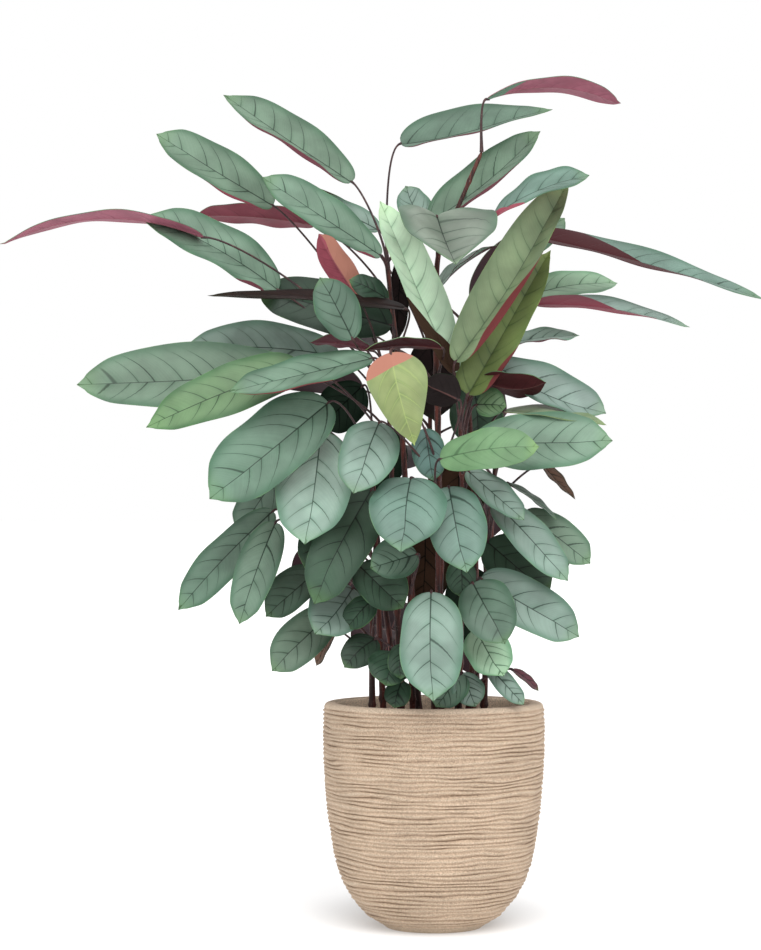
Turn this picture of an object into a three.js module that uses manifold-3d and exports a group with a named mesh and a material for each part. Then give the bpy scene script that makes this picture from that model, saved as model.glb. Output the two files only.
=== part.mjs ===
// A tall leafy prayer plant with silver-green blades, standing in an egg-shaped ribbed planter.
// Millimetres, +Z up, +Y away from the viewer. The origin is the middle of the planter's flat foot.
import * as THREE from "three";
import { mergeVertices } from "three/addons/utils/BufferGeometryUtils.js";
import Module from "manifold-3d";

const wasm = await Module();
wasm.setup();

// Planter
const FOOT_RADIUS = 75;
const RIM_HEIGHT = 353;
const WALL = 22;
const FLOOR = 24;
const RIB_COUNT = 18;
const RIB_START = 14;
const RIB_END = 338;
const RIB_RELIEF = 2.4;
const RIB_WANDER = 2.2;
const RIM_ROUND = 6;
const FLOOR_ROUND = 14;
const PLANTER_SIDES = 24;
// Height and outer radius of the smooth wall that the ribs stand on.
const WALL_PROFILE = [
  [0, 75], [7, 84], [20, 105], [46, 128], [73, 143], [99, 152.5],
  [125, 158.5], [177, 166.5], [230, 170.5], [268, 173], [308, 174.5], [345, 173],
];

// Soil and the holes that the canes stand in
const SOIL_TOP = 303;
const SOIL_GAP = 0.3;
const HOLE_DEPTH = 42;
const HOLE_GAP = 0.4;
const CANE_SEAT_GAP = 0.5;

// Canes, leaf stalks and blades
const CANE_RADIUS = 6;
const CANE_TOP_RADIUS = 3.4;
const CANE_SIDES = 6;
const CANE_STEPS = 6;
const STALK_RADIUS = 2.4;
const STALK_TIP_RADIUS = 1.8;
const STALK_STEPS = 3;
const STALK_RISE = 0.25;
const STALK_REACH = 0.14;
const BLADE_THICKNESS = 1.2;
const BLADE_ROWS = [0.055, 0.23, 0.5, 0.77, 0.945];
const BLADE_FULLNESS = 0.5;

// The plant was laid out as seen from this far in front of it and from this height: a place is
// written as across, depth and up on the upright plane through the planter's axis, and spreads
// or closes with its depth, so a leaf can be set deeper or nearer without leaving the outline.
const VIEW_DISTANCE = 4170;
const VIEW_HEIGHT = 645;

// Each cane: name, then its places from the soil to its top.
export const CANES = [
  ["01", [-22, 15], [-40, 10, 620], [-58, 0, 900], [-75, -5, 1052]],
  ["02", [12, -38], [8, -66, 706], [4, -84, 943], [8, -92, 1061], [36, -92, 1128], [76, -92, 1222]],
  ["03", [38, -22], [46, -62, 600], [42, -88, 790]],
  ["04", [62, 22], [66, 46, 600], [54, 44, 850], [50, 40, 950]],
  ["05", [2, 92], [-2, 124, 420], [-4, 140, 560]],
  ["06", [-50, -18], [-62, -30, 600], [-72, -36, 850]],
  ["07", [-78, 18], [-90, 8, 560], [-98, -4, 770]],
  ["08", [2, -78], [6, -112, 500], [8, -136, 716]],
  ["09", [-97, -40], [-97, -42, 480], [-90, -42, 640]],
  ["10", [-32, -66], [-36, -92, 430], [-38, -98, 600]],
  ["11", [78, -18], [84, -34, 480], [88, -50, 660]],
  ["12", [52, -62], [62, -84, 430], [66, -96, 560]],
  ["13", [8, 52], [-4, 92, 620], [-6, 120, 905]],
  ["14", [-48, 66], [-84, 112, 560], [-98, 138, 760]],
  ["15", [56, 72], [86, 116, 560], [98, 134, 750]],
];

// Each blade: name, its cane, the height at which its stalk leaves the cane, the blade's foot, its tip,
// its width, then how far the upper face turns up from the viewer, how far the middle is raised,
// how far the halves fold up and how far the blade twists from foot to tip, in degrees and millimetres,
// and how much broader it is towards its foot, as a share of its width.
export const BLADES = [
  ["L1", "01", 1040, [-129, 20, 1175], [-328, 50, 1310], 82, 48, 11, 8, 0, 0.15],
  ["L2", "06", 842, [-254, 0, 1138], [-434, -40, 1250], 86, 40, 6, 6, 0, -0.1],
  ["L3", "01", 1035, [-83, -12, 1058], [-266, -60, 1180], 78, 42, 5, 8, 0, -0.3],
  ["L4", "01", 1000, [-86, 36, 1098], [-205, 70, 1149], 50, 38, 6, 8, 0, 0],
  ["L5", "01", 960, [-190, 60, 1108], [-372, 95, 1122], 72, 112, 5, 8, 0, 0.2],
  ["R2", "01", 1045, [-52, 0, 1236], [182, 10, 1288], 86, 58, 8, 8, 0, 1.0],
  ["R3b", "01", 1042, [-14, -10, 1096], [-46, 0, 1166], 56, 20, 3, 8, 0, 0],
  ["R1", "02", 1218, [84, -90, 1306], [291, -60, 1300], 62, 104, 24, 6, 0, -0.8],
  ["R3", "02", 1050, [-6, -40, 1111], [165, -50, 1250], 100, 55, 0, 8, 0, 0.15],
  ["R4", "02", 1040, [5, -99, 1121], [36, -236, 1046], 149, 20, -10, 31, 6, 0.16],
  ["R5", "02", 1062, [96, -150, 1120], [242, -170, 1184], 80, 62, 14, 6, 0, -0.6],
  ["R6", "03", 770, [34, -130, 890], [208, -120, 1172], 66, 12, 10, 22, 0, 0.1],
  ["R7", "03", 780, [54, -100, 838], [182, -60, 1060], 80, 22, 10, 20, 0, 0.6],
  ["L25", "08", 640, [10, -190, 736], [162, -215, 756], 70, 28, 10, 4, 0, 0],
  ["L26", "03", 700, [58, -115, 758], [276, -155, 761], 101, 30, 6, 6, 0, 0],
  ["L27", "03", 740, [94, -50, 888], [266, -80, 808], 75, 38, 2, 8, 0, 0],
  ["L28", "03", 760, [78, -90, 861], [176, -120, 855], 76, 116, -10, 6, 0, 0],
  ["L29", "03", 660, [112, -80, 812], [268, -118, 790], 66, 75, 6, 6, 0, 0],
  ["L30", "11", 640, [174, -70, 726], [222, -80, 674], 36, 64, 0, 6, 0, 1.0],
  ["R9", "04", 930, [150, -10, 1090], [513, 20, 990], 96, 68, 7, 10, 0, 0.5],
  ["R10", "04", 900, [150, 60, 994], [288, 110, 1012], 84, 56, 8, 8, 0, 0],
  ["R11", "04", 880, [160, -30, 980], [398, -20, 945], 78, 70, 12, 8, 0, 0.6],
  ["R13", "04", 840, [112, -10, 916], [228, 10, 930], 76, 68, 4, 8, 0, 0],
  ["R15", "04", 945, [2, 10, 1000], [100, 50, 1074], 86, 78, 8, 8, 0, 0.5],
  ["R16", "04", 940, [104, 80, 1030], [206, 120, 1114], 70, 40, 6, 8, 0, 0],
  ["R8", "02", 800, [33, -108, 872], [-79, -130, 1138], 66, 30, 2, 18, 0, -0.2],
  ["L11", "06", 830, [-116, -70, 986], [-182, -80, 1089], 46, 158, -4, 10, 0, 0],
  ["L10", "06", 800, [-128, -185, 926], [-178, -200, 1022], 66, 10, 4, 6, 0, 0],
  ["L19", "02", 830, [-68, -226, 905], [-34, -256, 761], 80, 4, 10, -14, 0, 1.1],
  ["L18", "02", 850, [12, -160, 912], [-106, -180, 908], 64, 102, 6, 6, 0, 0],
  ["L12", "06", 840, [-72, -95, 988], [-132, -110, 1020], 42, 30, 4, 6, 0, 0],
  ["L17", "06", 800, [-98, -150, 908], [-194, -165, 920], 62, 104, 6, 6, 0, 0],
  ["L14", "06", 760, [-226, -60, 876], [-556, -90, 856], 110, 26, 0, 8, 0, 0],
  ["L13", "06", 790, [-150, 10, 898], [-396, 30, 908], 94, 34, 16, 8, 0, 0],
  ["L15", "06", 730, [-208, -120, 882], [-448, -150, 788], 86, 26, 14, 8, 0, 0.3],
  ["L8", "06", 845, [-44, -140, 974], [-350, -160, 995], 80, 73, 8, 4, 0, 0.8],
  ["L9", "06", 840, [-66, -36, 948], [-272, -36, 1002], 84, 12, 8, 6, 0, 0],
  ["L7", "06", 815, [-246, -50, 1004], [-456, -80, 1120], 104, 48, 18, 8, 0, 0.2],
  ["L6", "06", 830, [-364, -100, 1088], [-682, -120, 1078], 62, 99, 36, 6, 0, 0.5],
  ["L20", "07", 700, [-166, -150, 826], [-348, -200, 676], 114, 14, 12, 8, 0, 0],
  ["L21", "07", 680, [-178, -100, 780], [-200, -160, 606], 120, 4, 12, 8, 0, 0],
  ["L22", "08", 680, [-86, -170, 794], [-122, -250, 684], 88, 4, 10, 6, 0, 0],
  ["L56", "07", 560, [-254, 0, 654], [-400, -20, 502], 70, 20, 4, 8, 0, 0],
  ["L57", "07", 530, [-250, -50, 636], [-306, -90, 480], 66, 12, 10, 8, 0, 0],
  ["L58", "07", 620, [-226, 60, 736], [-306, 85, 620], 70, 20, 10, 8, 0, 0],
  ["L47", "09", 560, [-138, -60, 676], [-200, -110, 558], 76, 6, 10, 8, 0, 0],
  ["L46", "09", 600, [-98, -90, 688], [-190, -150, 514], 88, 4, 12, 8, 0, 0],
  ["L45", "09", 500, [-180, 10, 564], [-264, 0, 490], 68, 26, 4, 8, 0, 0],
  ["L44", "09", 440, [-158, -10, 498], [-255, -60, 406], 70, 8, 6, 8, 0, 0],
  ["L48", "09", 470, [-128, -50, 532], [-184, -120, 460], 86, 2, 8, 6, 0, 0],
  ["L55", "09", 400, [-156, 30, 462], [-184, 40, 410], 40, 60, 4, 8, 0, 0],
  ["L50", "09", 520, [-118, -105, 568], [-50, -130, 502], 76, 20, 8, 8, 0, 0],
  ["L51", "10", 520, [-26, -150, 586], [-98, -175, 564], 66, 22, 6, 6, 0, 0],
  ["L49", "09", 450, [-94, -95, 516], [-136, -105, 468], 50, 30, 4, 6, 0, 0],
  ["L52", "10", 400, [-92, -80, 452], [-140, -115, 408], 54, 20, 6, 6, 0, 0],
  ["L53", "10", 390, [-60, -100, 430], [-78, -140, 380], 70, 8, 6, 6, 0, 0],
  ["L54", "10", 380, [-50, -130, 444], [-54, -155, 390], 40, 6, 4, 6, 0, 0],
  ["L23", "08", 640, [-36, -190, 706], [-46, -290, 592], 113, 2, 12, 8, 0, 0],
  ["L24", "08", 600, [24, -170, 692], [48, -250, 560], 90, 4, 12, 8, 0, 0],
  ["L38", "08", 460, [-4, -190, 526], [-3, -250, 358], 98, 2, 14, 8, 0, 0],
  ["R19", "08", 660, [-14, -120, 784], [-2, -150, 704], 52, 4, 4, 6, 0, 0],
  ["L16", "08", 700, [-97, -188, 896], [-318, -215, 845], 84, 54, 2, 4, 0, 0],
  ["R17", "08", 690, [40, -130, 830], [-16, -150, 854], 60, 150, 4, 6, 0, 0],
  ["C1", "12", 500, [42, -140, 580], [44, -150, 518], 46, 4, 4, 6, 0, 0],
  ["L32", "11", 560, [96, -120, 668], [207, -165, 546], 60, 20, 10, 8, 0, 0],
  ["L33", "11", 540, [140, -70, 650], [243, -95, 572], 64, 24, 8, 8, 0, 0],
  ["L35", "11", 500, [84, -60, 606], [180, -95, 524], 90, 20, 8, 8, 0, 0],
  ["L31", "11", 620, [54, -140, 718], [140, -175, 642], 54, 38, 0, 8, 0, 0],
  ["L34", "11", 590, [118, -90, 698], [192, -100, 641], 38, 76, 4, 6, 0, 0],
  ["L36", "12", 480, [74, -120, 548], [226, -160, 460], 80, 14, 2, 8, 0, 0.15],
  ["L37", "12", 450, [62, -165, 540], [113, -225, 448], 84, 4, 10, 8, 0, 0],
  ["L39", "12", 400, [66, -125, 468], [106, -155, 394], 70, 8, 6, 8, 0, 0],
  ["L40", "12", 365, [84, -110, 412], [140, -132, 350], 32, 12, 4, 6, 0, 0],
  ["L41", "12", 370, [124, -60, 404], [164, -60, 371], 24, 60, 3, 6, 0, 0],
  ["L42", "12", 350, [44, -100, 398], [6, -122, 345], 60, 20, 4, 6, 0, 0],
  ["L59", "12", 345, [42, -100, 398], [64, -116, 346], 50, 14, 4, 6, 0, 0],
  ["L43", "10", 345, [-50, -100, 386], [-62, -118, 344], 42, 12, 3, 6, 0, 0],
  ["B1", "13", 890, [-104, 130, 1080], [-224, 260, 1150], 76, 140, 12, 8, 0, 0],
  ["B2", "13", 895, [70, 120, 960], [140, 270, 1080], 80, 150, 12, 8, 0, 0],
  ["B3", "13", 850, [-90, 170, 930], [-210, 340, 985], 86, 140, 14, 8, 0, 0],
  ["B4", "13", 840, [84, 150, 884], [112, 340, 930], 72, 150, 14, 8, 0, 0],
  ["B5", "13", 780, [-110, 160, 844], [-330, 260, 886], 92, 135, 16, 8, 0, 0],
  ["B6", "13", 760, [70, 160, 800], [116, 330, 812], 92, 140, 14, 8, 0, 0],
  ["B7", "13", 800, [0, 220, 850], [10, 420, 830], 96, 180, 20, 8, 0, 0],
  ["B8", "14", 700, [-170, 180, 764], [-292, 290, 700], 100, 150, 16, 8, 0, 0],
  ["B9", "14", 650, [-130, 230, 700], [-190, 380, 620], 104, 165, 18, 8, 0, 0],
  ["B10", "14", 540, [-146, 140, 600], [-206, 240, 520], 90, 150, 14, 8, 0, 0],
  ["B11", "14", 500, [-110, 220, 566], [-160, 350, 480], 94, 165, 16, 8, 0, 0],
  ["B12", "14", 720, [-60, 240, 760], [-74, 410, 715], 100, 178, 18, 8, 0, 0],
  ["B13", "15", 690, [118, 170, 764], [176, 310, 766], 96, 150, 14, 8, 0, 0],
  ["B14", "15", 640, [70, 230, 680], [88, 390, 610], 104, 165, 18, 8, 0, 0],
  ["B15", "15", 560, [140, 170, 624], [200, 300, 550], 90, 155, 14, 8, 0, 0],
  ["B16", "15", 480, [84, 220, 546], [112, 350, 462], 94, 168, 16, 8, 0, 0],
  ["B17", "15", 600, [24, 250, 650], [22, 410, 590], 100, 178, 18, 8, 0, 0],
  ["B18", "05", 450, [-50, 200, 508], [-82, 330, 405], 90, 170, 14, 8, 0, 0],
  ["B19", "05", 430, [40, 200, 490], [62, 330, 395], 88, 170, 14, 8, 0, 0],
  ["B20", "05", 400, [-76, 160, 470], [-112, 250, 428], 76, 150, 10, 8, 0, 0],
  ["B21", "05", 400, [88, 160, 500], [134, 250, 478], 76, 150, 10, 8, 0, 0],
  ["L60", "03", 680, [68, -80, 822], [114, -92, 820], 50, 26, 6, 8, 0, 0],
  ["D1", "14", 740, [-112, 50, 852], [-176, 60, 786], 76, 8, 4, 6, 0, 0],
  ["D2", "14", 690, [-62, 60, 782], [-112, 64, 684], 88, 6, 4, 6, 0, 0],
  ["D3", "13", 890, [-50, 44, 1056], [-58, 50, 926], 34, 8, 4, 6, 0, 0],
  ["D4", "13", 860, [-6, 30, 930], [2, 52, 800], 84, 6, 4, 6, 0, 0],
  ["D5", "15", 740, [62, 78, 862], [70, 94, 756], 88, 8, 4, 6, 0, 0],
  ["D6", "15", 700, [40, 60, 742], [36, 70, 622], 92, 8, 4, 6, 0, 0],
  ["D7", "13", 560, [-14, 50, 640], [-18, 60, 506], 92, 6, 4, 6, 0, 0],
  ["D8", "15", 500, [56, 56, 566], [60, 66, 446], 88, 6, 4, 6, 0, 0],
];

// Finishes
const PLANTER_FINISH = { color: 0xc9ab85, roughness: 0.85, metalness: 0 };
const SOIL_FINISH = { color: 0x2c2119, roughness: 0.95, metalness: 0 };
const LEAF_FINISH = { color: 0x7f9d8c, roughness: 0.5, metalness: 0 };

// Real place of a layout place.
function spot([across, depth, up]) {
  const spread = 1 + depth / VIEW_DISTANCE;
  return new THREE.Vector3(across * spread, depth, VIEW_HEIGHT + (up - VIEW_HEIGHT) * spread);
}

function solidOf(geometry) {
  const bare = geometry.clone();
  bare.deleteAttribute("normal");
  bare.deleteAttribute("uv");
  const merged = mergeVertices(bare, 1e-3);
  return new wasm.Manifold(
    new wasm.Mesh({
      numProp: 3,
      vertProperties: new Float32Array(merged.attributes.position.array),
      triVerts: new Uint32Array(merged.index.array),
    }),
  );
}

function geometryOf(solid) {
  const mesh = solid.getMesh();
  const places = new Float32Array(mesh.numVert * 3);
  for (let i = 0; i < mesh.numVert; i += 1) {
    places.set(mesh.vertProperties.subarray(i * mesh.numProp, i * mesh.numProp + 3), i * 3);
  }
  const geometry = new THREE.BufferGeometry();
  geometry.setAttribute("position", new THREE.BufferAttribute(places, 3));
  geometry.setIndex(new THREE.BufferAttribute(new Uint32Array(mesh.triVerts), 1));
  geometry.computeVertexNormals();
  return geometry;
}

function closedGeometry(places, faces) {
  const geometry = new THREE.BufferGeometry();
  const flat = places.flatMap((place) => [place.x, place.y, place.z]);
  geometry.setAttribute("position", new THREE.Float32BufferAttribute(flat, 3));
  geometry.setIndex(faces.flat());
  return geometry;
}

function named(name, geometry, finish) {
  const mesh = new THREE.Mesh(geometry, new THREE.MeshStandardMaterial(finish));
  mesh.name = name;
  return mesh;
}

// Outer radius of the smooth wall at a height.
function wallRadius(height) {
  for (let i = 1; i < WALL_PROFILE.length; i += 1) {
    const [low, lowRadius] = WALL_PROFILE[i - 1];
    const [high, highRadius] = WALL_PROFILE[i];
    if (height <= high) {
      return lowRadius + ((highRadius - lowRadius) * (height - low)) / (high - low);
    }
  }
  return WALL_PROFILE[WALL_PROFILE.length - 1][1];
}

// How far a rib strays up or down from level, by the turn round the planter.
function ribWander(turn, height) {
  return RIB_WANDER * Math.sin(3 * turn + height / 17) * Math.sin(2 * turn - height / 41);
}

// The planter: a thick egg-shaped shell. Wavy ribs ring its wall, each from a low valley to a crest.
function planter() {
  const pitch = (RIB_END - RIB_START) / RIB_COUNT;
  const outline = [new THREE.Vector2(0, 0), new THREE.Vector2(FOOT_RADIUS, 0)];
  outline.push(new THREE.Vector2(wallRadius(5), 5));
  for (let rib = 0; rib < RIB_COUNT; rib += 1) {
    const valley = RIB_START + rib * pitch;
    const crest = valley + pitch / 2;
    outline.push(new THREE.Vector2(wallRadius(valley) - RIB_RELIEF / 2, valley));
    outline.push(new THREE.Vector2(wallRadius(crest) + RIB_RELIEF / 2, crest));
  }
  const rim = wallRadius(RIM_HEIGHT);
  outline.push(new THREE.Vector2(rim, RIB_END + RIM_ROUND / 2));
  outline.push(new THREE.Vector2(rim - RIM_ROUND / 4, RIM_HEIGHT - 0.7 * RIM_ROUND));
  outline.push(new THREE.Vector2(rim - RIM_ROUND, RIM_HEIGHT));
  outline.push(new THREE.Vector2(rim - WALL + RIM_ROUND, RIM_HEIGHT));
  outline.push(new THREE.Vector2(rim - WALL, RIM_HEIGHT - 0.8 * RIM_ROUND));
  outline.push(...innerWall(RIM_HEIGHT - 2 * RIM_ROUND, 0));
  const lathe = new THREE.LatheGeometry(outline, PLANTER_SIDES);
  lathe.deleteAttribute("normal");
  lathe.deleteAttribute("uv");
  const shell = mergeVertices(lathe, 1e-3);
  const places = shell.attributes.position;
  for (let i = 0; i < places.count; i += 1) {
    const x = places.getX(i);
    const height = places.getY(i);
    const y = -places.getZ(i);
    const outside = Math.hypot(x, y) > wallRadius(height) - WALL / 2;
    const onRibs = outside && height > RIB_START && height < RIB_END;
    places.setXYZ(i, x, y, height + (onRibs ? ribWander(Math.atan2(y, x), height) : 0));
  }
  return geometryOf(solidOf(shell));
}

// Inner wall from a height down to the floor on the axis, inset by a gap.
function innerWall(top, gap) {
  const heights = [RIM_HEIGHT - 2 * RIM_ROUND, SOIL_TOP, 230, 125, 73, 46, FLOOR + 6, FLOOR];
  const places = heights
    .filter((height) => height <= top)
    .map((height) => new THREE.Vector2(wallRadius(height) - WALL - gap, Math.max(height, FLOOR + gap)));
  places[places.length - 1].x -= FLOOR_ROUND;
  places.push(new THREE.Vector2(0, FLOOR + gap));
  return places;
}

// Straight prism, a little wider than the foot of a cane, that cuts its hole.
function hole([across, depth]) {
  const radius = CANE_RADIUS + HOLE_GAP;
  const { x, y } = spot([across, depth, SOIL_TOP]);
  const places = [SOIL_TOP - HOLE_DEPTH, SOIL_TOP + 10].map((z) => new THREE.Vector3(x, y, z));
  return tube(places, [radius, radius], CANE_SIDES);
}

function soil() {
  const outline = [new THREE.Vector2(0, SOIL_TOP), ...innerWall(SOIL_TOP, SOIL_GAP)].reverse();
  const lathe = new THREE.LatheGeometry(outline, PLANTER_SIDES);
  lathe.rotateX(Math.PI / 2);
  const body = CANES.reduce((solid, cane) => solid.subtract(solidOf(hole(cane[1]))), solidOf(lathe));
  return geometryOf(body);
}

// Closed tapering tube through places, with flat ends. Its first ring has a corner towards +X.
function tube(places, radii, sides) {
  const ring = [];
  let across = new THREE.Vector3(1, 0, 0);
  places.forEach((place, i) => {
    const before = places[Math.max(i - 1, 0)];
    const after = places[Math.min(i + 1, places.length - 1)];
    const run = after.clone().sub(before).normalize();
    across = across.clone().addScaledVector(run, -across.dot(run)).normalize();
    const other = run.clone().cross(across);
    for (let side = 0; side < sides; side += 1) {
      const turn = (2 * Math.PI * side) / sides;
      const corner = place.clone();
      corner.addScaledVector(across, radii[i] * Math.cos(turn));
      corner.addScaledVector(other, radii[i] * Math.sin(turn));
      ring.push(corner);
    }
  });
  const faces = [];
  for (let i = 0; i + 1 < places.length; i += 1) {
    for (let side = 0; side < sides; side += 1) {
      const a = i * sides + side;
      const b = i * sides + ((side + 1) % sides);
      faces.push([a, b, b + sides], [a, b + sides, a + sides]);
    }
  }
  const last = (places.length - 1) * sides;
  for (let side = 1; side + 1 < sides; side += 1) {
    faces.push([0, side + 1, side], [last, last + side, last + side + 1]);
  }
  return closedGeometry(ring, faces);
}

// Curve of a cane above the soil.
function caneCurve([, foot, ...places]) {
  const start = [foot[0], foot[1], SOIL_TOP + 8];
  return new THREE.CatmullRomCurve3([start, ...places].map(spot), false, "catmullrom", 0.5);
}

function caneSolid(cane) {
  const curve = caneCurve(cane);
  const foot = spot([cane[1][0], cane[1][1], SOIL_TOP]);
  const places = [foot.clone().setZ(SOIL_TOP - HOLE_DEPTH + CANE_SEAT_GAP)];
  places.push(foot.clone().setZ(SOIL_TOP + 1));
  const radii = [CANE_RADIUS, CANE_RADIUS];
  for (let step = 1; step <= CANE_STEPS; step += 1) {
    const share = step / CANE_STEPS;
    places.push(curve.getPoint(share));
    radii.push(CANE_RADIUS + (CANE_TOP_RADIUS - CANE_RADIUS) * share);
  }
  return solidOf(tube(places, radii, CANE_SIDES));
}

// Place on a cane at a height, found by halving.
function placeOnCane(curve, height) {
  let low = 0;
  let high = 1;
  for (let i = 0; i < 24; i += 1) {
    const middle = (low + high) / 2;
    if (curve.getPoint(middle).z < height) low = middle;
    else high = middle;
  }
  return curve.getPoint(low);
}

// A blade's own frame: where it starts, which way it runs, and which way its upper face looks.
export function bladeFrame([, , , foot, tip, width, turn, raise, fold, twist, taper]) {
  const start = spot(foot);
  const run = spot(tip).sub(start);
  const length = run.length();
  run.normalize();
  const toViewer = new THREE.Vector3(0, -1, 0);
  toViewer.addScaledVector(run, -toViewer.dot(run)).normalize();
  const upward = run.clone().cross(toViewer);
  if (upward.z < 0) upward.negate();
  const angle = THREE.MathUtils.degToRad(turn);
  const face = toViewer.multiplyScalar(Math.cos(angle)).addScaledVector(upward, Math.sin(angle));
  return { start, run, length, face, width, raise, fold, twist, taper };
}

// Middle line of the blade and its frame at a share of its length.
function station(frame, share) {
  const middle = frame.start.clone().addScaledVector(frame.run, frame.length * share);
  middle.addScaledVector(frame.face, frame.raise * 4 * share * (1 - share));
  const twist = THREE.MathUtils.degToRad(frame.twist * (share - 0.5));
  const face = frame.face.clone().applyAxisAngle(frame.run, twist);
  const side = frame.run.clone().cross(face);
  const swell = Math.pow(4 * share * (1 - share), BLADE_FULLNESS);
  const half = (frame.width / 2) * swell * (1 + frame.taper * (0.5 - share));
  return { middle, face, side, half };
}

// Place on the blade's middle surface: share runs from foot to tip, reach from -1 to 1 across.
export function bladePlace(frame, share, reach) {
  const { middle, face, side, half } = station(frame, share);
  const lift = half * Math.abs(reach) * Math.tan(THREE.MathUtils.degToRad(frame.fold));
  return { place: middle.addScaledVector(side, half * reach).addScaledVector(face, lift), face };
}

// Rings of six corners that follow a leaf from the cane to its tip: left below, left above, middle
// above, right above, right below, middle below. On the stalk and at the tip some corners are shared.
function leafRings(curve, frame, height) {
  const root = placeOnCane(curve, height);
  const foot = frame.start;
  const span = foot.distanceTo(root);
  const rise = root.clone().add(new THREE.Vector3(0, 0, STALK_RISE * span));
  const reach = foot.clone().addScaledVector(frame.run, -STALK_REACH * span);
  const bend = new THREE.CubicBezierCurve3(root, rise, reach, foot);
  const corners = [];
  const rings = [];
  let { side } = station(frame, 0);
  for (let step = STALK_STEPS; step >= 0; step -= 1) {
    const share = step / STALK_STEPS;
    const run = bend.getTangent(share);
    side = side.clone().addScaledVector(run, -side.dot(run)).normalize();
    const face = side.clone().cross(run);
    const radius = STALK_RADIUS + (STALK_TIP_RADIUS - STALK_RADIUS) * share;
    const middle = bend.getPoint(share);
    const first = corners.length;
    [[side, -1], [face, 1], [side, 1], [face, -1]].forEach(([way, sign]) => {
      corners.push(middle.clone().addScaledVector(way, sign * radius));
    });
    rings.unshift([first, first, first + 1, first + 2, first + 2, first + 3]);
  }
  BLADE_ROWS.forEach((share) => {
    const places = [-1, 0, 1].map((reachAcross) => bladePlace(frame, share, reachAcross));
    const first = corners.length;
    [[0, -1], [0, 1], [1, 1], [2, 1], [2, -1], [1, -1]].forEach(([i, sign]) => {
      corners.push(places[i].place.clone().addScaledVector(places[i].face, (sign * BLADE_THICKNESS) / 2));
    });
    rings.push([0, 1, 2, 3, 4, 5].map((corner) => first + corner));
  });
  const { place, face } = bladePlace(frame, 1, 0);
  const below = corners.push(place.clone().addScaledVector(face, -BLADE_THICKNESS / 2)) - 1;
  const above = corners.push(place.clone().addScaledVector(face, BLADE_THICKNESS / 2)) - 1;
  rings.push([below, above, above, above, below, below]);
  return { corners, rings };
}

// One leaf as a closed solid: a stalk that rises from the cane, bends over and opens into the blade.
// Both faces of the blade are split into triangles alike.
function leafSolid(curve, frame, height) {
  const { corners, rings } = leafRings(curve, frame, height);
  const [left, , above, right, , below] = rings[0];
  const faces = [[left, right, above], [left, below, right]];
  for (let i = 0; i + 1 < rings.length; i += 1) {
    const near = rings[i];
    const far = rings[i + 1];
    for (let k = 0; k < 6; k += 1) {
      const n = (k + 1) % 6;
      if (k < 3) faces.push([near[k], near[n], far[n]], [near[k], far[n], far[k]]);
      else faces.push([near[k], near[n], far[k]], [near[n], far[n], far[k]]);
    }
  }
  return solidOf(closedGeometry(corners, faces.filter(([a, b, c]) => a !== b && b !== c && c !== a)));
}

// One leafy stem: cane, stalks and blades grown together.
function leafyStem(cane) {
  const curve = caneCurve(cane);
  return BLADES.filter((blade) => blade[1] === cane[0]).reduce((stem, blade) => {
    return stem.add(leafSolid(curve, bladeFrame(blade), blade[2]));
  }, caneSolid(cane));
}

const plant = new THREE.Group();
plant.add(named("planter", planter(), PLANTER_FINISH));
plant.add(named("soil", soil(), SOIL_FINISH));
CANES.forEach((cane) => {
  plant.add(named(`leafy_stem_${cane[0]}`, geometryOf(leafyStem(cane)), LEAF_FINISH));
});

export default plant;
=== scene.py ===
"""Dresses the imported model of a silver-leaved prayer plant in a ribbed planter.

The tables give places and sizes in millimetres on the plant's layout; every mesh is in metres.
"""
import math

import bpy
import numpy as np
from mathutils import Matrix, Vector, noise


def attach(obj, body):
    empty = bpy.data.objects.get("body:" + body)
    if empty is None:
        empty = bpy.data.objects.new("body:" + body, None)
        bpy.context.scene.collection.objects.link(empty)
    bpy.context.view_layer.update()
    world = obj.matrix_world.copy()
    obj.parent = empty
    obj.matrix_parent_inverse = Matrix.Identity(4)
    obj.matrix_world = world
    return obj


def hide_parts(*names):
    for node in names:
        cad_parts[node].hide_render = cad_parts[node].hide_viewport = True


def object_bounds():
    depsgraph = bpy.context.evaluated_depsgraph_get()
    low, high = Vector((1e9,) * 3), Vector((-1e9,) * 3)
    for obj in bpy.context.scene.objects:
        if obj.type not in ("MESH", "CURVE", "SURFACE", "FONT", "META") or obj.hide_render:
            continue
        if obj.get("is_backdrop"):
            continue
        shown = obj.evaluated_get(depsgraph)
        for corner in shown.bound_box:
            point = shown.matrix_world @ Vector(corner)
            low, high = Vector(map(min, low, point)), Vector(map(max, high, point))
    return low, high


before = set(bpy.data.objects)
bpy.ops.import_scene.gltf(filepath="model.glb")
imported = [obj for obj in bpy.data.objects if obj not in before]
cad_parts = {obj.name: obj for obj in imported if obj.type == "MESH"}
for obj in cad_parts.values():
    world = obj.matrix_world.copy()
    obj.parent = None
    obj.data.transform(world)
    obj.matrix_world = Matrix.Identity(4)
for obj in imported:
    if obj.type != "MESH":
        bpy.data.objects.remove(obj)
CAD_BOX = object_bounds()

bl_info = {
    "name": "Silver-leaved Prayer Plant in a Ribbed Planter",
    "version": (1, 0, 0),
    "blender": (4, 5, 0),
    "location": "View3D > Sidebar > Plant",
    "description": "Builds the ribbed planter, its soil, the canes and stalks, and every leaf blade",
    "category": "Add Mesh",
}

MM = 0.001

# The layout's viewpoint, as in the part's source: places are across, depth and up on the plane
# through the planter's axis, and spread with their depth.
VIEW_DISTANCE = 4170
VIEW_HEIGHT = 645

# The stage, in metres.
CAMERA_AIM = (-0.084, 0, 0.711)
KEY_PLACE = (0.45, -2.6, 3.5)
KEY_AIM = (0, 0, 0.6)
STAGE_REACH = 300.0

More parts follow.
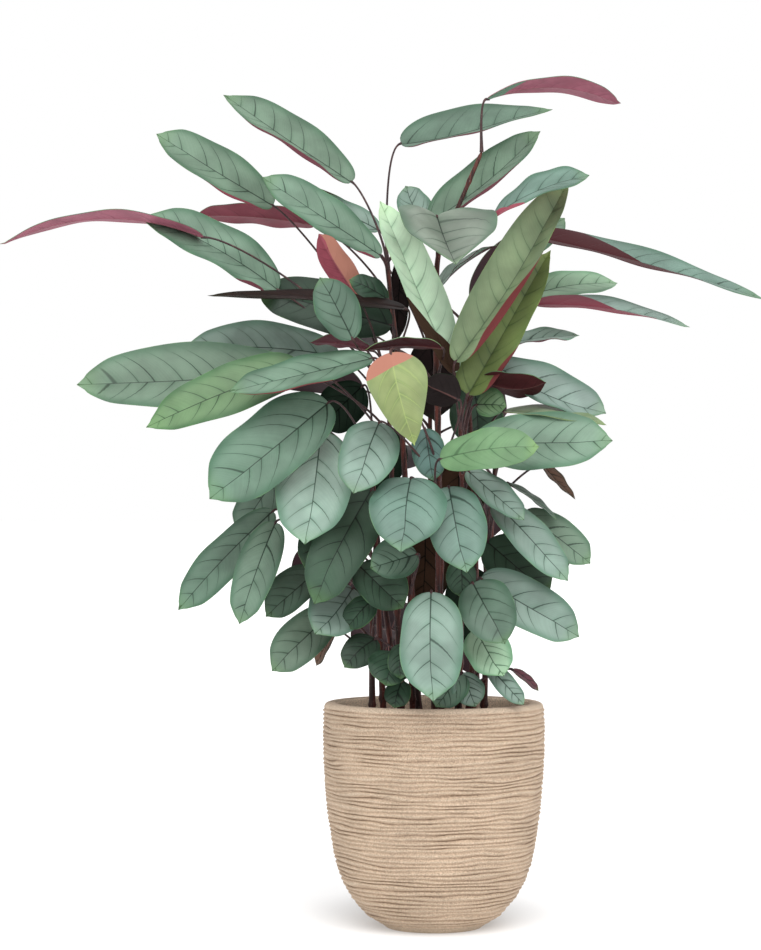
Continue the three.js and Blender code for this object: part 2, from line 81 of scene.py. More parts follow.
# The planter's shell: its foot's outline is radius and height, its wall's profile height and radius.
RIM_HEIGHT = 353
WALL = 22
PLANTER_FLOOR = 24
FLOOR_BEND = 6
FLOOR_INSET = 14
LIP_OUTER_ROUND = 8
LIP_INNER_ROUND = 6
LIP_MIDDLE = 12
RIM_BAND = 9
FOOT_BAND = 8
GROOVE_WIDTH = 1.25
FOOT_OUTLINE = [(24, 0), (52, 0), (71, 0), (75, 0.4), (78, 2.6)]
INNER_HEIGHTS = (46, 73, 125, 230, 280)
WALL_PROFILE = [
    [0, 75], [7, 84], [20, 105], [46, 128], [73, 143], [99, 152.5],
    [125, 158.5], [177, 166.5], [230, 170.5], [268, 173], [308, 174.5], [345, 173],
]
PLANTER_COLUMNS = 208
PLANTER_ROWS = 400

SOIL_TOP = 303
SOIL_GAP = 0.4
SOIL_INSET = 15
SOIL_COLUMNS = 96
CRUMB_DEPTH = 14
CRUMB_SPREAD = 0.25
CRUMB_SEED = 4

# Canes and stalks, whose thickness swells at the nodes, at the sheath and below the blade.
CANE_RADIUS = 6
CANE_TOP_RADIUS = 3.4
CANE_HOLE = 41.5
CANE_STEPS = 64
NODE_SPACING = 74
STALK_RISE = 0.25
STALK_REACH = 0.14
STALK_STEPS = 22
STALK_RADIUS = 1.85
STALK_THINNING = 0.35
STALK_SHEATH = 1.5
STALK_JOINT = 0.75
STALK_END_RADIUS = 1.3

# Name, foot (across, depth), then the places (across, depth, up) that the cane passes.
CANES = [
    ["01", [-22, 15], [-40, 10, 620], [-58, 0, 900], [-75, -5, 1052]],
    ["02", [12, -38], [8, -66, 706], [4, -84, 943], [8, -92, 1061], [36, -92, 1128], [76, -92, 1222]],
    ["03", [38, -22], [46, -62, 600], [42, -88, 790]],
    ["04", [62, 22], [66, 46, 600], [54, 44, 850], [50, 40, 950]],
    ["05", [2, 92], [-2, 124, 420], [-4, 140, 560]],
    ["06", [-50, -18], [-62, -30, 600], [-72, -36, 850]],
    ["07", [-78, 18], [-90, 8, 560], [-98, -4, 770]],
    ["08", [2, -78], [6, -112, 500], [8, -136, 716]],
    ["09", [-97, -40], [-97, -42, 480], [-90, -42, 640]],
    ["10", [-32, -66], [-36, -92, 430], [-38, -98, 600]],
    ["11", [78, -18], [84, -34, 480], [88, -50, 660]],
    ["12", [52, -62], [62, -84, 430], [66, -96, 560]],
    ["13", [8, 52], [-4, 92, 620], [-6, 120, 905]],
    ["14", [-48, 66], [-84, 112, 560], [-98, 138, 760]],
    ["15", [56, 72], [86, 116, 560], [98, 134, 750]],
]

# Name, cane, height where the stalk leaves, foot, tip, width, turn, raise, fold, twist, taper.
BLADES = [
    ["L1", "01", 1040, [-129, 20, 1175], [-328, 50, 1310], 82, 48, 11, 8, 0, 0.15],
    ["L2", "06", 842, [-254, 0, 1138], [-434, -40, 1250], 86, 40, 6, 6, 0, -0.1],
    ["L3", "01", 1035, [-83, -12, 1058], [-266, -60, 1180], 78, 42, 5, 8, 0, -0.3],
    ["L4", "01", 1000, [-86, 36, 1098], [-205, 70, 1149], 50, 38, 6, 8, 0, 0],
    ["L5", "01", 960, [-190, 60, 1108], [-372, 95, 1122], 72, 112, 5, 8, 0, 0.2],
    ["R2", "01", 1045, [-52, 0, 1236], [182, 10, 1288], 86, 58, 8, 8, 0, 1.0],
    ["R3b", "01", 1042, [-14, -10, 1096], [-46, 0, 1166], 56, 20, 3, 8, 0, 0],
    ["R1", "02", 1218, [84, -90, 1306], [291, -60, 1300], 62, 104, 24, 6, 0, -0.8],
    ["R3", "02", 1050, [-6, -40, 1111], [165, -50, 1250], 100, 55, 0, 8, 0, 0.15],
    ["R4", "02", 1040, [5, -99, 1121], [36, -236, 1046], 149, 20, -10, 31, 6, 0.16],
    ["R5", "02", 1062, [96, -150, 1120], [242, -170, 1184], 80, 62, 14, 6, 0, -0.6],
    ["R6", "03", 770, [34, -130, 890], [208, -120, 1172], 66, 12, 10, 22, 0, 0.1],
    ["R7", "03", 780, [54, -100, 838], [182, -60, 1060], 80, 22, 10, 20, 0, 0.6],
    ["L25", "08", 640, [10, -190, 736], [162, -215, 756], 70, 28, 10, 4, 0, 0],
    ["L26", "03", 700, [58, -115, 758], [276, -155, 761], 101, 30, 6, 6, 0, 0],
    ["L27", "03", 740, [94, -50, 888], [266, -80, 808], 75, 38, 2, 8, 0, 0],
    ["L28", "03", 760, [78, -90, 861], [176, -120, 855], 76, 116, -10, 6, 0, 0],
    ["L29", "03", 660, [112, -80, 812], [268, -118, 790], 66, 75, 6, 6, 0, 0],
    ["L30", "11", 640, [174, -70, 726], [222, -80, 674], 36, 64, 0, 6, 0, 1.0],
    ["R9", "04", 930, [150, -10, 1090], [513, 20, 990], 96, 68, 7, 10, 0, 0.5],
    ["R10", "04", 900, [150, 60, 994], [288, 110, 1012], 84, 56, 8, 8, 0, 0],
    ["R11", "04", 880, [160, -30, 980], [398, -20, 945], 78, 70, 12, 8, 0, 0.6],
    ["R13", "04", 840, [112, -10, 916], [228, 10, 930], 76, 68, 4, 8, 0, 0],
    ["R15", "04", 945, [2, 10, 1000], [100, 50, 1074], 86, 78, 8, 8, 0, 0.5],
    ["R16", "04", 940, [104, 80, 1030], [206, 120, 1114], 70, 40, 6, 8, 0, 0],
    ["R8", "02", 800, [33, -108, 872], [-79, -130, 1138], 66, 30, 2, 18, 0, -0.2],
    ["L11", "06", 830, [-116, -70, 986], [-182, -80, 1089], 46, 158, -4, 10, 0, 0],
    ["L10", "06", 800, [-128, -185, 926], [-178, -200, 1022], 66, 10, 4, 6, 0, 0],
    ["L19", "02", 830, [-68, -226, 905], [-34, -256, 761], 80, 4, 10, -14, 0, 1.1],
    ["L18", "02", 850, [12, -160, 912], [-106, -180, 908], 64, 102, 6, 6, 0, 0],
    ["L12", "06", 840, [-72, -95, 988], [-132, -110, 1020], 42, 30, 4, 6, 0, 0],
    ["L17", "06", 800, [-98, -150, 908], [-194, -165, 920], 62, 104, 6, 6, 0, 0],
    ["L14", "06", 760, [-226, -60, 876], [-556, -90, 856], 110, 26, 0, 8, 0, 0],
    ["L13", "06", 790, [-150, 10, 898], [-396, 30, 908], 94, 34, 16, 8, 0, 0],
    ["L15", "06", 730, [-208, -120, 882], [-448, -150, 788], 86, 26, 14, 8, 0, 0.3],
    ["L8", "06", 845, [-44, -140, 974], [-350, -160, 995], 80, 73, 8, 4, 0, 0.8],
    ["L9", "06", 840, [-66, -36, 948], [-272, -36, 1002], 84, 12, 8, 6, 0, 0],
    ["L7", "06", 815, [-246, -50, 1004], [-456, -80, 1120], 104, 48, 18, 8, 0, 0.2],
    ["L6", "06", 830, [-364, -100, 1088], [-682, -120, 1078], 62, 99, 36, 6, 0, 0.5],
    ["L20", "07", 700, [-166, -150, 826], [-348, -200, 676], 114, 14, 12, 8, 0, 0],
    ["L21", "07", 680, [-178, -100, 780], [-200, -160, 606], 120, 4, 12, 8, 0, 0],
    ["L22", "08", 680, [-86, -170, 794], [-122, -250, 684], 88, 4, 10, 6, 0, 0],
    ["L56", "07", 560, [-254, 0, 654], [-400, -20, 502], 70, 20, 4, 8, 0, 0],
    ["L57", "07", 530, [-250, -50, 636], [-306, -90, 480], 66, 12, 10, 8, 0, 0],
    ["L58", "07", 620, [-226, 60, 736], [-306, 85, 620], 70, 20, 10, 8, 0, 0],
    ["L47", "09", 560, [-138, -60, 676], [-200, -110, 558], 76, 6, 10, 8, 0, 0],
    ["L46", "09", 600, [-98, -90, 688], [-190, -150, 514], 88, 4, 12, 8, 0, 0],
    ["L45", "09", 500, [-180, 10, 564], [-264, 0, 490], 68, 26, 4, 8, 0, 0],
    ["L44", "09", 440, [-158, -10, 498], [-255, -60, 406], 70, 8, 6, 8, 0, 0],
    ["L48", "09", 470, [-128, -50, 532], [-184, -120, 460], 86, 2, 8, 6, 0, 0],
    ["L55", "09", 400, [-156, 30, 462], [-184, 40, 410], 40, 60, 4, 8, 0, 0],
    ["L50", "09", 520, [-118, -105, 568], [-50, -130, 502], 76, 20, 8, 8, 0, 0],
    ["L51", "10", 520, [-26, -150, 586], [-98, -175, 564], 66, 22, 6, 6, 0, 0],
    ["L49", "09", 450, [-94, -95, 516], [-136, -105, 468], 50, 30, 4, 6, 0, 0],
    ["L52", "10", 400, [-92, -80, 452], [-140, -115, 408], 54, 20, 6, 6, 0, 0],
    ["L53", "10", 390, [-60, -100, 430], [-78, -140, 380], 70, 8, 6, 6, 0, 0],
    ["L54", "10", 380, [-50, -130, 444], [-54, -155, 390], 40, 6, 4, 6, 0, 0],
    ["L23", "08", 640, [-36, -190, 706], [-46, -290, 592], 113, 2, 12, 8, 0, 0],
    ["L24", "08", 600, [24, -170, 692], [48, -250, 560], 90, 4, 12, 8, 0, 0],
    ["L38", "08", 460, [-4, -190, 526], [-3, -250, 358], 98, 2, 14, 8, 0, 0],
    ["R19", "08", 660, [-14, -120, 784], [-2, -150, 704], 52, 4, 4, 6, 0, 0],
    ["L16", "08", 700, [-97, -188, 896], [-318, -215, 845], 84, 54, 2, 4, 0, 0],
    ["R17", "08", 690, [40, -130, 830], [-16, -150, 854], 60, 150, 4, 6, 0, 0],
    ["C1", "12", 500, [42, -140, 580], [44, -150, 518], 46, 4, 4, 6, 0, 0],
    ["L32", "11", 560, [96, -120, 668], [207, -165, 546], 60, 20, 10, 8, 0, 0],
    ["L33", "11", 540, [140, -70, 650], [243, -95, 572], 64, 24, 8, 8, 0, 0],
    ["L35", "11", 500, [84, -60, 606], [180, -95, 524], 90, 20, 8, 8, 0, 0],
    ["L31", "11", 620, [54, -140, 718], [140, -175, 642], 54, 38, 0, 8, 0, 0],
    ["L34", "11", 590, [118, -90, 698], [192, -100, 641], 38, 76, 4, 6, 0, 0],
    ["L36", "12", 480, [74, -120, 548], [226, -160, 460], 80, 14, 2, 8, 0, 0.15],
    ["L37", "12", 450, [62, -165, 540], [113, -225, 448], 84, 4, 10, 8, 0, 0],
    ["L39", "12", 400, [66, -125, 468], [106, -155, 394], 70, 8, 6, 8, 0, 0],
    ["L40", "12", 365, [84, -110, 412], [140, -132, 350], 32, 12, 4, 6, 0, 0],
    ["L41", "12", 370, [124, -60, 404], [164, -60, 371], 24, 60, 3, 6, 0, 0],
    ["L42", "12", 350, [44, -100, 398], [6, -122, 345], 60, 20, 4, 6, 0, 0],
    ["L59", "12", 345, [42, -100, 398], [64, -116, 346], 50, 14, 4, 6, 0, 0],
    ["L43", "10", 345, [-50, -100, 386], [-62, -118, 344], 42, 12, 3, 6, 0, 0],
    ["B1", "13", 890, [-104, 130, 1080], [-224, 260, 1150], 76, 140, 12, 8, 0, 0],
    ["B2", "13", 895, [70, 120, 960], [140, 270, 1080], 80, 150, 12, 8, 0, 0],
    ["B3", "13", 850, [-90, 170, 930], [-210, 340, 985], 86, 140, 14, 8, 0, 0],
    ["B4", "13", 840, [84, 150, 884], [112, 340, 930], 72, 150, 14, 8, 0, 0],
    ["B5", "13", 780, [-110, 160, 844], [-330, 260, 886], 92, 135, 16, 8, 0, 0],
    ["B6", "13", 760, [70, 160, 800], [116, 330, 812], 92, 140, 14, 8, 0, 0],
    ["B7", "13", 800, [0, 220, 850], [10, 420, 830], 96, 180, 20, 8, 0, 0],
    ["B8", "14", 700, [-170, 180, 764], [-292, 290, 700], 100, 150, 16, 8, 0, 0],
    ["B9", "14", 650, [-130, 230, 700], [-190, 380, 620], 104, 165, 18, 8, 0, 0],
    ["B10", "14", 540, [-146, 140, 600], [-206, 240, 520], 90, 150, 14, 8, 0, 0],
    ["B11", "14", 500, [-110, 220, 566], [-160, 350, 480], 94, 165, 16, 8, 0, 0],
    ["B12", "14", 720, [-60, 240, 760], [-74, 410, 715], 100, 178, 18, 8, 0, 0],
    ["B13", "15", 690, [118, 170, 764], [176, 310, 766], 96, 150, 14, 8, 0, 0],
    ["B14", "15", 640, [70, 230, 680], [88, 390, 610], 104, 165, 18, 8, 0, 0],
    ["B15", "15", 560, [140, 170, 624], [200, 300, 550], 90, 155, 14, 8, 0, 0],
    ["B16", "15", 480, [84, 220, 546], [112, 350, 462], 94, 168, 16, 8, 0, 0],
    ["B17", "15", 600, [24, 250, 650], [22, 410, 590], 100, 178, 18, 8, 0, 0],
    ["B18", "05", 450, [-50, 200, 508], [-82, 330, 405], 90, 170, 14, 8, 0, 0],
    ["B19", "05", 430, [40, 200, 490], [62, 330, 395], 88, 170, 14, 8, 0, 0],
    ["B20", "05", 400, [-76, 160, 470], [-112, 250, 428], 76, 150, 10, 8, 0, 0],
    ["B21", "05", 400, [88, 160, 500], [134, 250, 478], 76, 150, 10, 8, 0, 0],
    ["L60", "03", 680, [68, -80, 822], [114, -92, 820], 50, 26, 6, 8, 0, 0],
    # D1 to D8 sit in the middle of the plant; their dark tones are painted shade between the canes.
    ["D1", "14", 740, [-112, 50, 852], [-176, 60, 786], 76, 8, 4, 6, 0, 0],
    ["D2", "14", 690, [-62, 60, 782], [-112, 64, 684], 88, 6, 4, 6, 0, 0],
    ["D3", "13", 890, [-50, 44, 1056], [-58, 50, 926], 34, 8, 4, 6, 0, 0],
    ["D4", "13", 860, [-6, 30, 930], [2, 52, 800], 84, 6, 4, 6, 0, 0],
    ["D5", "15", 740, [62, 78, 862], [70, 94, 756], 88, 8, 4, 6, 0, 0],
    ["D6", "15", 700, [40, 60, 742], [36, 70, 622], 92, 8, 4, 6, 0, 0],
    ["D7", "13", 560, [-14, 50, 640], [-18, 60, 506], 92, 6, 4, 6, 0, 0],
    ["D8", "15", 500, [56, 56, 566], [60, 66, 446], 88, 6, 4, 6, 0, 0],
]

# Tones of the living leaf, as display colours.
# Beside the leaf's own colours, the darker greens and the near-black maroons and browns are shaded copies,
# painted shade on blades deep in the plant; frost and tender are paler copies, painted light on blades that
# lie in shade.
TONES = {
    "silver": "667d6a",
    "jade": "678276",
    "pewter": "6f8976",
    "fir": "5a7262",
    "tender": "9dc0a0",
    "leek": "6b8f66",
    "pale": "7c9387",
    "mist": "80948b",
    "frost": "9ab5a6",
    "smoke": "7f8a7d",
    "green": "627d6b",
    # Darker copies of the leaf's green: painted shade on blades deep in the plant.
    "shaded_dusk": "4a6352",
    "shaded_deep": "2f4937",
    "shaded_moss": "3c5543",
    "shaded_gloom": "283d2e",
    "shade": "203025",
    "blue": "55776f",
    "fresh": "67855f",
    "lime": "7e9d75",
    "celery": "bddabb",
    "olive": "677843",
    "sage": "768866",
    "butter": "7f8c5a",
    "salmon": "a57161",
    "sand": "90826d",
    "wood": "685042",
    "maroon": "753843",
    "rose": "904653",
    "blush": "9a5c6c",
    "wine": "5f2f39",
    "claret": "411a1e",
    "umber": "3c2b20",
    # Near-black maroons and browns: painted shade on blades in the middle of the plant.
    "shaded_soot": "221a1a",
    "shaded_plum": "301a20",
    "shaded_peat": "20110e",
    "shaded_night": "140c0f",
    "brick": "6d3637",
}

# Upper tone and tone of the underside: of most blades, of those at the back, whose names start with B, and of
# the blades that differ from them. The back blades' dark green and dark maroon are painted shade, and so are
# the darkest looks below.
PLAIN_LOOK = ("silver", "maroon")
SHADED_BACK_LOOK = ("shaded_deep", "shaded_plum")
LOOKS = {
    ("pale", "maroon"): "L4 R3b L22 L48 L38 L32 L31 L36 L40 L59",
    ("green", "shaded_plum"): "L58 B1 B4 B7 B12 B14 B18",
    ("shaded_deep", "shaded_plum"): "L12 L49 L53 L54 C1",
    ("green", "maroon"): "L5 L20 L56 L51 L42",
    ("shaded_deep", "maroon"): "L47 L35 L43",
    ("pewter", "maroon"): "L3 L26 L57",
    ("shade", "shaded_night"): "D1 D2 D8",
    ("shaded_dusk", "shaded_plum"): "L45 L34",
    ("fir", "maroon"): "L10 L37",
    ("fresh", "maroon"): "L15 L60",
    ("shaded_gloom", "shaded_plum"): "L9 L52",
    ("green", "blush"): "R1 L6",
    ("green", "claret"): "L28 R15",
    ("jade", "maroon"): "L23 L24",
    ("mist", "maroon"): "L27 R11",
    ("silver", "wine"): "L1 R3",
    ("shaded_soot", "shaded_soot"): "D3 D4",
    ("tender", "maroon"): "R10 L39",
    ("umber", "shaded_soot"): "D6 D7",
    ("blue", "maroon"): "R19",
    ("butter", "salmon"): "L19",
    ("celery", "umber"): "R8",
    ("shaded_deep", "shaded_deep"): "D5",
    ("fir", "wine"): "R2",
    ("frost", "maroon"): "L21",
    ("frost", "wine"): "R13",
    ("green", "wine"): "L17",
    ("jade", "claret"): "R9",
    ("jade", "rose"): "R5",
    ("leek", "maroon"): "L25",
    ("lime", "claret"): "L18",
    ("shaded_moss", "maroon"): "L46",
    ("shaded_moss", "shaded_plum"): "L50",
    ("olive", "brick"): "R7",
    ("pale", "wine"): "L13",
    ("shaded_peat", "shaded_peat"): "L8",
    ("pewter", "brick"): "L16",
    ("pewter", "wine"): "L7",
    ("sage", "brick"): "R6",
    ("sage", "sand"): "L29",
    ("salmon", "rose"): "L11",
    ("shade", "shaded_soot"): "R17",
    ("smoke", "maroon"): "R4",
    ("wine", "wine"): "L41",
    ("wood", "umber"): "L30",
    ("wood", "wood"): "L55",
}
OWN_LOOKS = {blade: look for look, blades in LOOKS.items() for blade in blades.split()}

# Edges that roll over and show the underside: blade, side, from and to along it, width as a share
# of the half blade. A width over 1 colours a band that narrows along the blade, without a roll.
ROLLED_EDGES = [
    ("L1", -1, 0.02, 0.80, 0.62), ("L2", -1, 0.05, 0.55, 0.16), ("L3", -1, 0.02, 0.20, 0.30),
    ("L7", -1, 0.05, 0.30, 0.30), ("L11", -1, -0.40, 1.60, 0.95), ("L16", -1, 0.30, 0.98, 0.08),
    ("L19", 1, -0.20, 0.25, 5.3), ("R1", 1, -0.02, 0.30, 1.9), ("R2", 1, 0.02, 0.62, 0.62),
    ("R3", 1, 0.02, 0.78, 0.46), ("R5", 1, -0.02, 0.36, 1.9), ("R6", 1, 0.02, 0.66, 0.62),
    ("R7", 1, 0.02, 0.40, 0.26), ("R8", -1, -0.02, 0.50, 2.15), ("R9", 1, -0.02, 0.74, 3.0),
    ("R11", 1, -0.02, 0.80, 3.1), ("R13", 1, 0.10, 0.80, 0.40), ("R15", 1, 0.10, 0.95, 0.55),
]

# Blades whose midrib runs off the middle of what is seen: share of the half blade, towards their left
# or right side.
LEANS = {
    "L1": -0.42, "L2": -0.2, "L3": -0.15, "L7": -0.12, "L14": -0.1, "L16": -0.1, "L27": 0.4,
    "L29": 0.5, "L30": 0.2, "R2": 0.7, "R3": 0.3, "R5": 0.25, "R6": 0.4, "R7": 0.12, "R8": -0.15,
    "R9": 0.1, "R11": 0.1,
}

# Upper tones of blades without a fresh green margin.
DULL_TONES = ("shaded_peat", "salmon", "wood", "umber", "shaded_soot", "shade")

# Upper tones of young blades, with faint veins and a lime margin.
YOUNG_TONES = ("celery", "sage", "olive", "butter", "lime", "leek")

# Blades whose veins are lighter than the leaf.
PALE_VEINS = ("L19",)

# What the veins and the margin do to a leaf's tone, and the tone of pale veins.
FEATHER_SHADE = (0.36, 0.57, 0.45)
PALE_VEIN = (0.33, 0.42, 0.13)
UNDER_VEIN_SHADE = (0.5, 0.45, 0.48)
UNDER_MIDRIB = (0.22, 0.1, 0.09)
WHITE = (1.0, 1.0, 1.0)

# The fine form of a blade, which is a folded plate in the CAD model: millimetres, and shares of its
# length or half width.
BLADE_THICKNESS = 0.9
BLADE_LENGTHS = 44
BLADE_BREADTHS = [0.0, 0.022, 0.06, 0.13, 0.24, 0.38, 0.53, 0.68, 0.81, 0.91, 0.97, 1.0]
BLADE_INSET = 0.006
BLADE_FULLNESS = 0.5
STRAP_FULLNESS = 0.4
STRAP_LENGTH = 1.9
TIP_START = 0.86
TIP_REACH = 1.03
MIDRIB_DIP = 1.1
MIDRIB_DIP_WIDTH = 3.2
MIDRIB_KEEL = 1.5
MIDRIB_KEEL_WIDTH = 1.9
QUILTING = 0.55
EDGE_WAVE = 2.2
ROLL_LIFT = 3.0
ROLL_EDGE = (-0.3, 0.3)
UNROLLED = -40.0
UPPER_SLOT, UNDER_SLOT = 0, 1

# What tells one blade from the next.
BLADE_SEED = 500
CANE_SEED = 80
BLADE_LIGHT = (0.93, 1.06)
NUMBER_STEP = 0.37

# Side veins: how far back a vein began, by its way from the midrib, that way squared and cubed; how
# far it strays; and the share of the gap between veins that their soft edges are measured by.
VEIN_CURVE = (0.68, 0.22, 0.52)
VEIN_STRAY = 0.17
VEIN_GAP_SHARE = 0.8


def linear(code):
    """Scene colour of a display colour written as six hexadecimal digits."""
    made = []
    for start in (0, 2, 4):
        value = int(code[start:start + 2], 16) / 255
        made.append(value / 12.92 if value <= 0.04045 else ((value + 0.055) / 1.055) ** 2.4)
    return tuple(made)


def spot(place):
    """Real place of a layout place."""
    across, depth, up = place
    spread = 1 + depth / VIEW_DISTANCE
    return np.array([across * spread, depth, VIEW_HEIGHT + (up - VIEW_HEIGHT) * spread], float)


def unit(vector):
    return vector / np.linalg.norm(vector)


def turned(vector, axis, angle):
    """The vector turned about an axis square to it; angles may be an array."""
    angle = np.asarray(angle)[..., None]
    return vector * np.cos(angle) + np.cross(axis, vector) * np.sin(angle)


def smooth(low, high, value):
    """Soft step from 0 at low to 1 at high."""
    share = np.clip((np.asarray(value, float) - low) / (high - low), 0, 1)
    return share * share * (3 - 2 * share)


def sine(turns, start):
    """Sine after a number of full turns from a start in radians."""
    return np.sin(2 * math.pi * turns + start)


def rough(*place):
    """Smooth noise at a place."""
    return noise.noise(Vector(place))


class Blade:
    """One leaf blade: its frame in the plant, its tones and its own irregularities."""

    def __init__(self, row, order):
        (self.name, self.cane, self.attach, foot, tip, self.width, turn, self.lift, fold, twist,
         self.taper) = row
        self.start = spot(foot)
        run = spot(tip) - self.start
        self.length = float(np.linalg.norm(run))
        self.run = run / self.length
        viewer = np.array([0.0, -1.0, 0.0])
        viewer = unit(viewer - self.run * viewer.dot(self.run))
        upward = np.cross(self.run, viewer)
        if upward[2] < 0:
            upward = -upward
        turn = math.radians(turn)
        self.face = viewer * math.cos(turn) + upward * math.sin(turn)
        self.fold = math.tan(math.radians(fold))
        self.twist = math.radians(twist)
        self.random = np.random.default_rng(BLADE_SEED + order)
        self.order = order
        plain = SHADED_BACK_LOOK if self.name.startswith("B") else PLAIN_LOOK
        self.upper, self.under = OWN_LOOKS.get(self.name, plain)
        self.rolled = [edge for edge in ROLLED_EDGES if edge[0] == self.name]
        self.lean = LEANS.get(self.name, self.random.uniform(-0.08, 0.08))
        self.fullness = BLADE_FULLNESS if self.length < STRAP_LENGTH * self.width else STRAP_FULLNESS
        self.fresh = 0.12 if self.upper in DULL_TONES else 1.0
        self.young = float(self.upper in YOUNG_TONES)
        self.pale_veins = float(self.name in PALE_VEINS)

    def frame_at(self, share):
        """Middle line, upward face, side and half width at shares of the length."""
        share = np.asarray(share, float)
        swell = 4 * share * (1 - share)
        middle = self.start + self.run * (self.length * share)[:, None]
        middle = middle + self.face * self.lift * swell[:, None]
        face = turned(self.face, self.run, self.twist * (share - 0.5))
        side = np.cross(self.run, face)
        half = self.width / 2 * np.clip(swell, 0, None) ** self.fullness
        return middle, face, side, half * (1 + self.taper * (0.5 - share))

    def vein_spacing(self):
        """Gap between side veins: a fifth of the blade, within what such a leaf has."""
        return min(max(self.length / 5.0, 12), 34)

    def vein_paths(self, share, across, phase):
        """Vein coordinate on one half: whole numbers lie midway between two side veins."""
        spacing = self.vein_spacing()
        across = across / (self.width / 2)
        near, middle, far = VEIN_CURVE
        back = near * across + middle * across ** 2 + far * across ** 3
        origin = share * self.length - self.width / 2 * back
        stray = sine(origin / (2.7 * spacing), phase * 2.1)
        stray = stray + 0.6 * sine(origin / (1.9 * spacing), phase * 4.7)
        return (origin + VEIN_STRAY * spacing * stray) / spacing + phase


def blade_surface(blade):
    """Upper and lower grids of a blade with every value that its material reads."""
    draw = blade.random.uniform
    steps = np.linspace(0, 1, BLADE_LENGTHS)
    crowded = 0.55 * steps + 0.45 * (0.5 - 0.5 * np.cos(math.pi * steps))
    share = BLADE_INSET + (1 - 2 * BLADE_INSET) * crowded
    breadths = np.array([-b for b in BLADE_BREADTHS[:0:-1]] + BLADE_BREADTHS)
    middle, face, side, half = blade.frame_at(share)
    half = half * (1 - draw(0.16, 0.3) * smooth(TIP_START, 0.99, share))
    u, v = np.meshgrid(share, breadths, indexing="ij")
    away = np.abs(v)
    right = v > 0
    soft = (4 * u * (1 - u)) ** 0.5

    def either(pair):
        """The first of a pair on the right half and the second on the left."""
        return np.where(right, *pair)

    # The two halves of a blade start far apart, so that their veins don't match.
    phases = [draw(4, 9), draw(24, 29)]
    uneven = draw(0.015, 0.05, 2)
    turns = draw(0.8, 1.7, 2)
    starts = draw(0, 2 * math.pi, 4)
    skew = draw(-0.1, 0.1) * blade.width / 2
    edge_wave = EDGE_WAVE * draw(0.5, 1.25) * blade.width / 90

    rib = blade.lean * half * (0.35 + 0.65 * np.sin(math.pi * share))
    outline = 1 + either([uneven[k] * sine(turns[k] * u, starts[k]) for k in (0, 1)])
    breadth = half[:, None] * outline - np.sign(v) * rib[:, None]
    across = away * breadth
    line = rib + skew * smooth(0.72, 1.0, share)

    strands = [blade.vein_paths(u, away * half[:, None], phase) for phase in phases]
    quilt = 0.5 - 0.5 * np.cos(2 * math.pi * either(strands[::-1]))
    quilt = quilt * (1 - away ** 3) * smooth(0, 0.12, away) * soft
    wave = either([sine((1.1 + turns[k]) * u, starts[2 + k]) for k in (0, 1)])
    lift = across * blade.fold * (1.3 - 0.3 * away ** 2)
    lift = lift + edge_wave * wave * away ** 2.4 * soft
    lift = lift + QUILTING * (0.5 - quilt)
    lift = lift - MIDRIB_DIP * np.exp(-((across / MIDRIB_DIP_WIDTH) ** 2)) * (1 - 0.75 * u)
    rolled = np.full(u.shape, UNROLLED)
    for _, way, low, high, width in blade.rolled:
        rise, fall = low + 0.3 * (high - low), high - 0.5 * (high - low)
        shape = smooth(low, rise, u) * (1 - smooth(fall, high, u))
        if width > 1:
            shape = np.clip((high - u) / (high - low), 0, 1)
        inside = np.where(shape > 0, (v * way - 1 + width * shape) * breadth, UNROLLED)
        if width <= 1:
            lift = lift + ROLL_LIFT * smooth(0, 14, inside)
        rolled = np.maximum(rolled, inside)

    place = middle[:, None, :] + side[:, None, :] * (v * breadth + line[:, None])[..., None]
    keel = MIDRIB_KEEL * np.exp(-((across / MIDRIB_KEEL_WIDTH) ** 2)) * (1 - 0.8 * u)
    upper = place + face[:, None, :] * (lift + BLADE_THICKNESS / 2)[..., None]
    lower = place + face[:, None, :] * (lift - BLADE_THICKNESS / 2 - keel)[..., None]
    tip = blade.frame_at([1.0])[0][0] + blade.run * blade.length * (TIP_REACH - 1)
    ends = [blade.frame_at([0.0])[0][0], tip + side[-1] * skew]
    return {"upper": upper, "lower": lower, "ends": ends, "u": u, "v": v, "half": breadth,
            "strands": strands, "rolled": rolled}


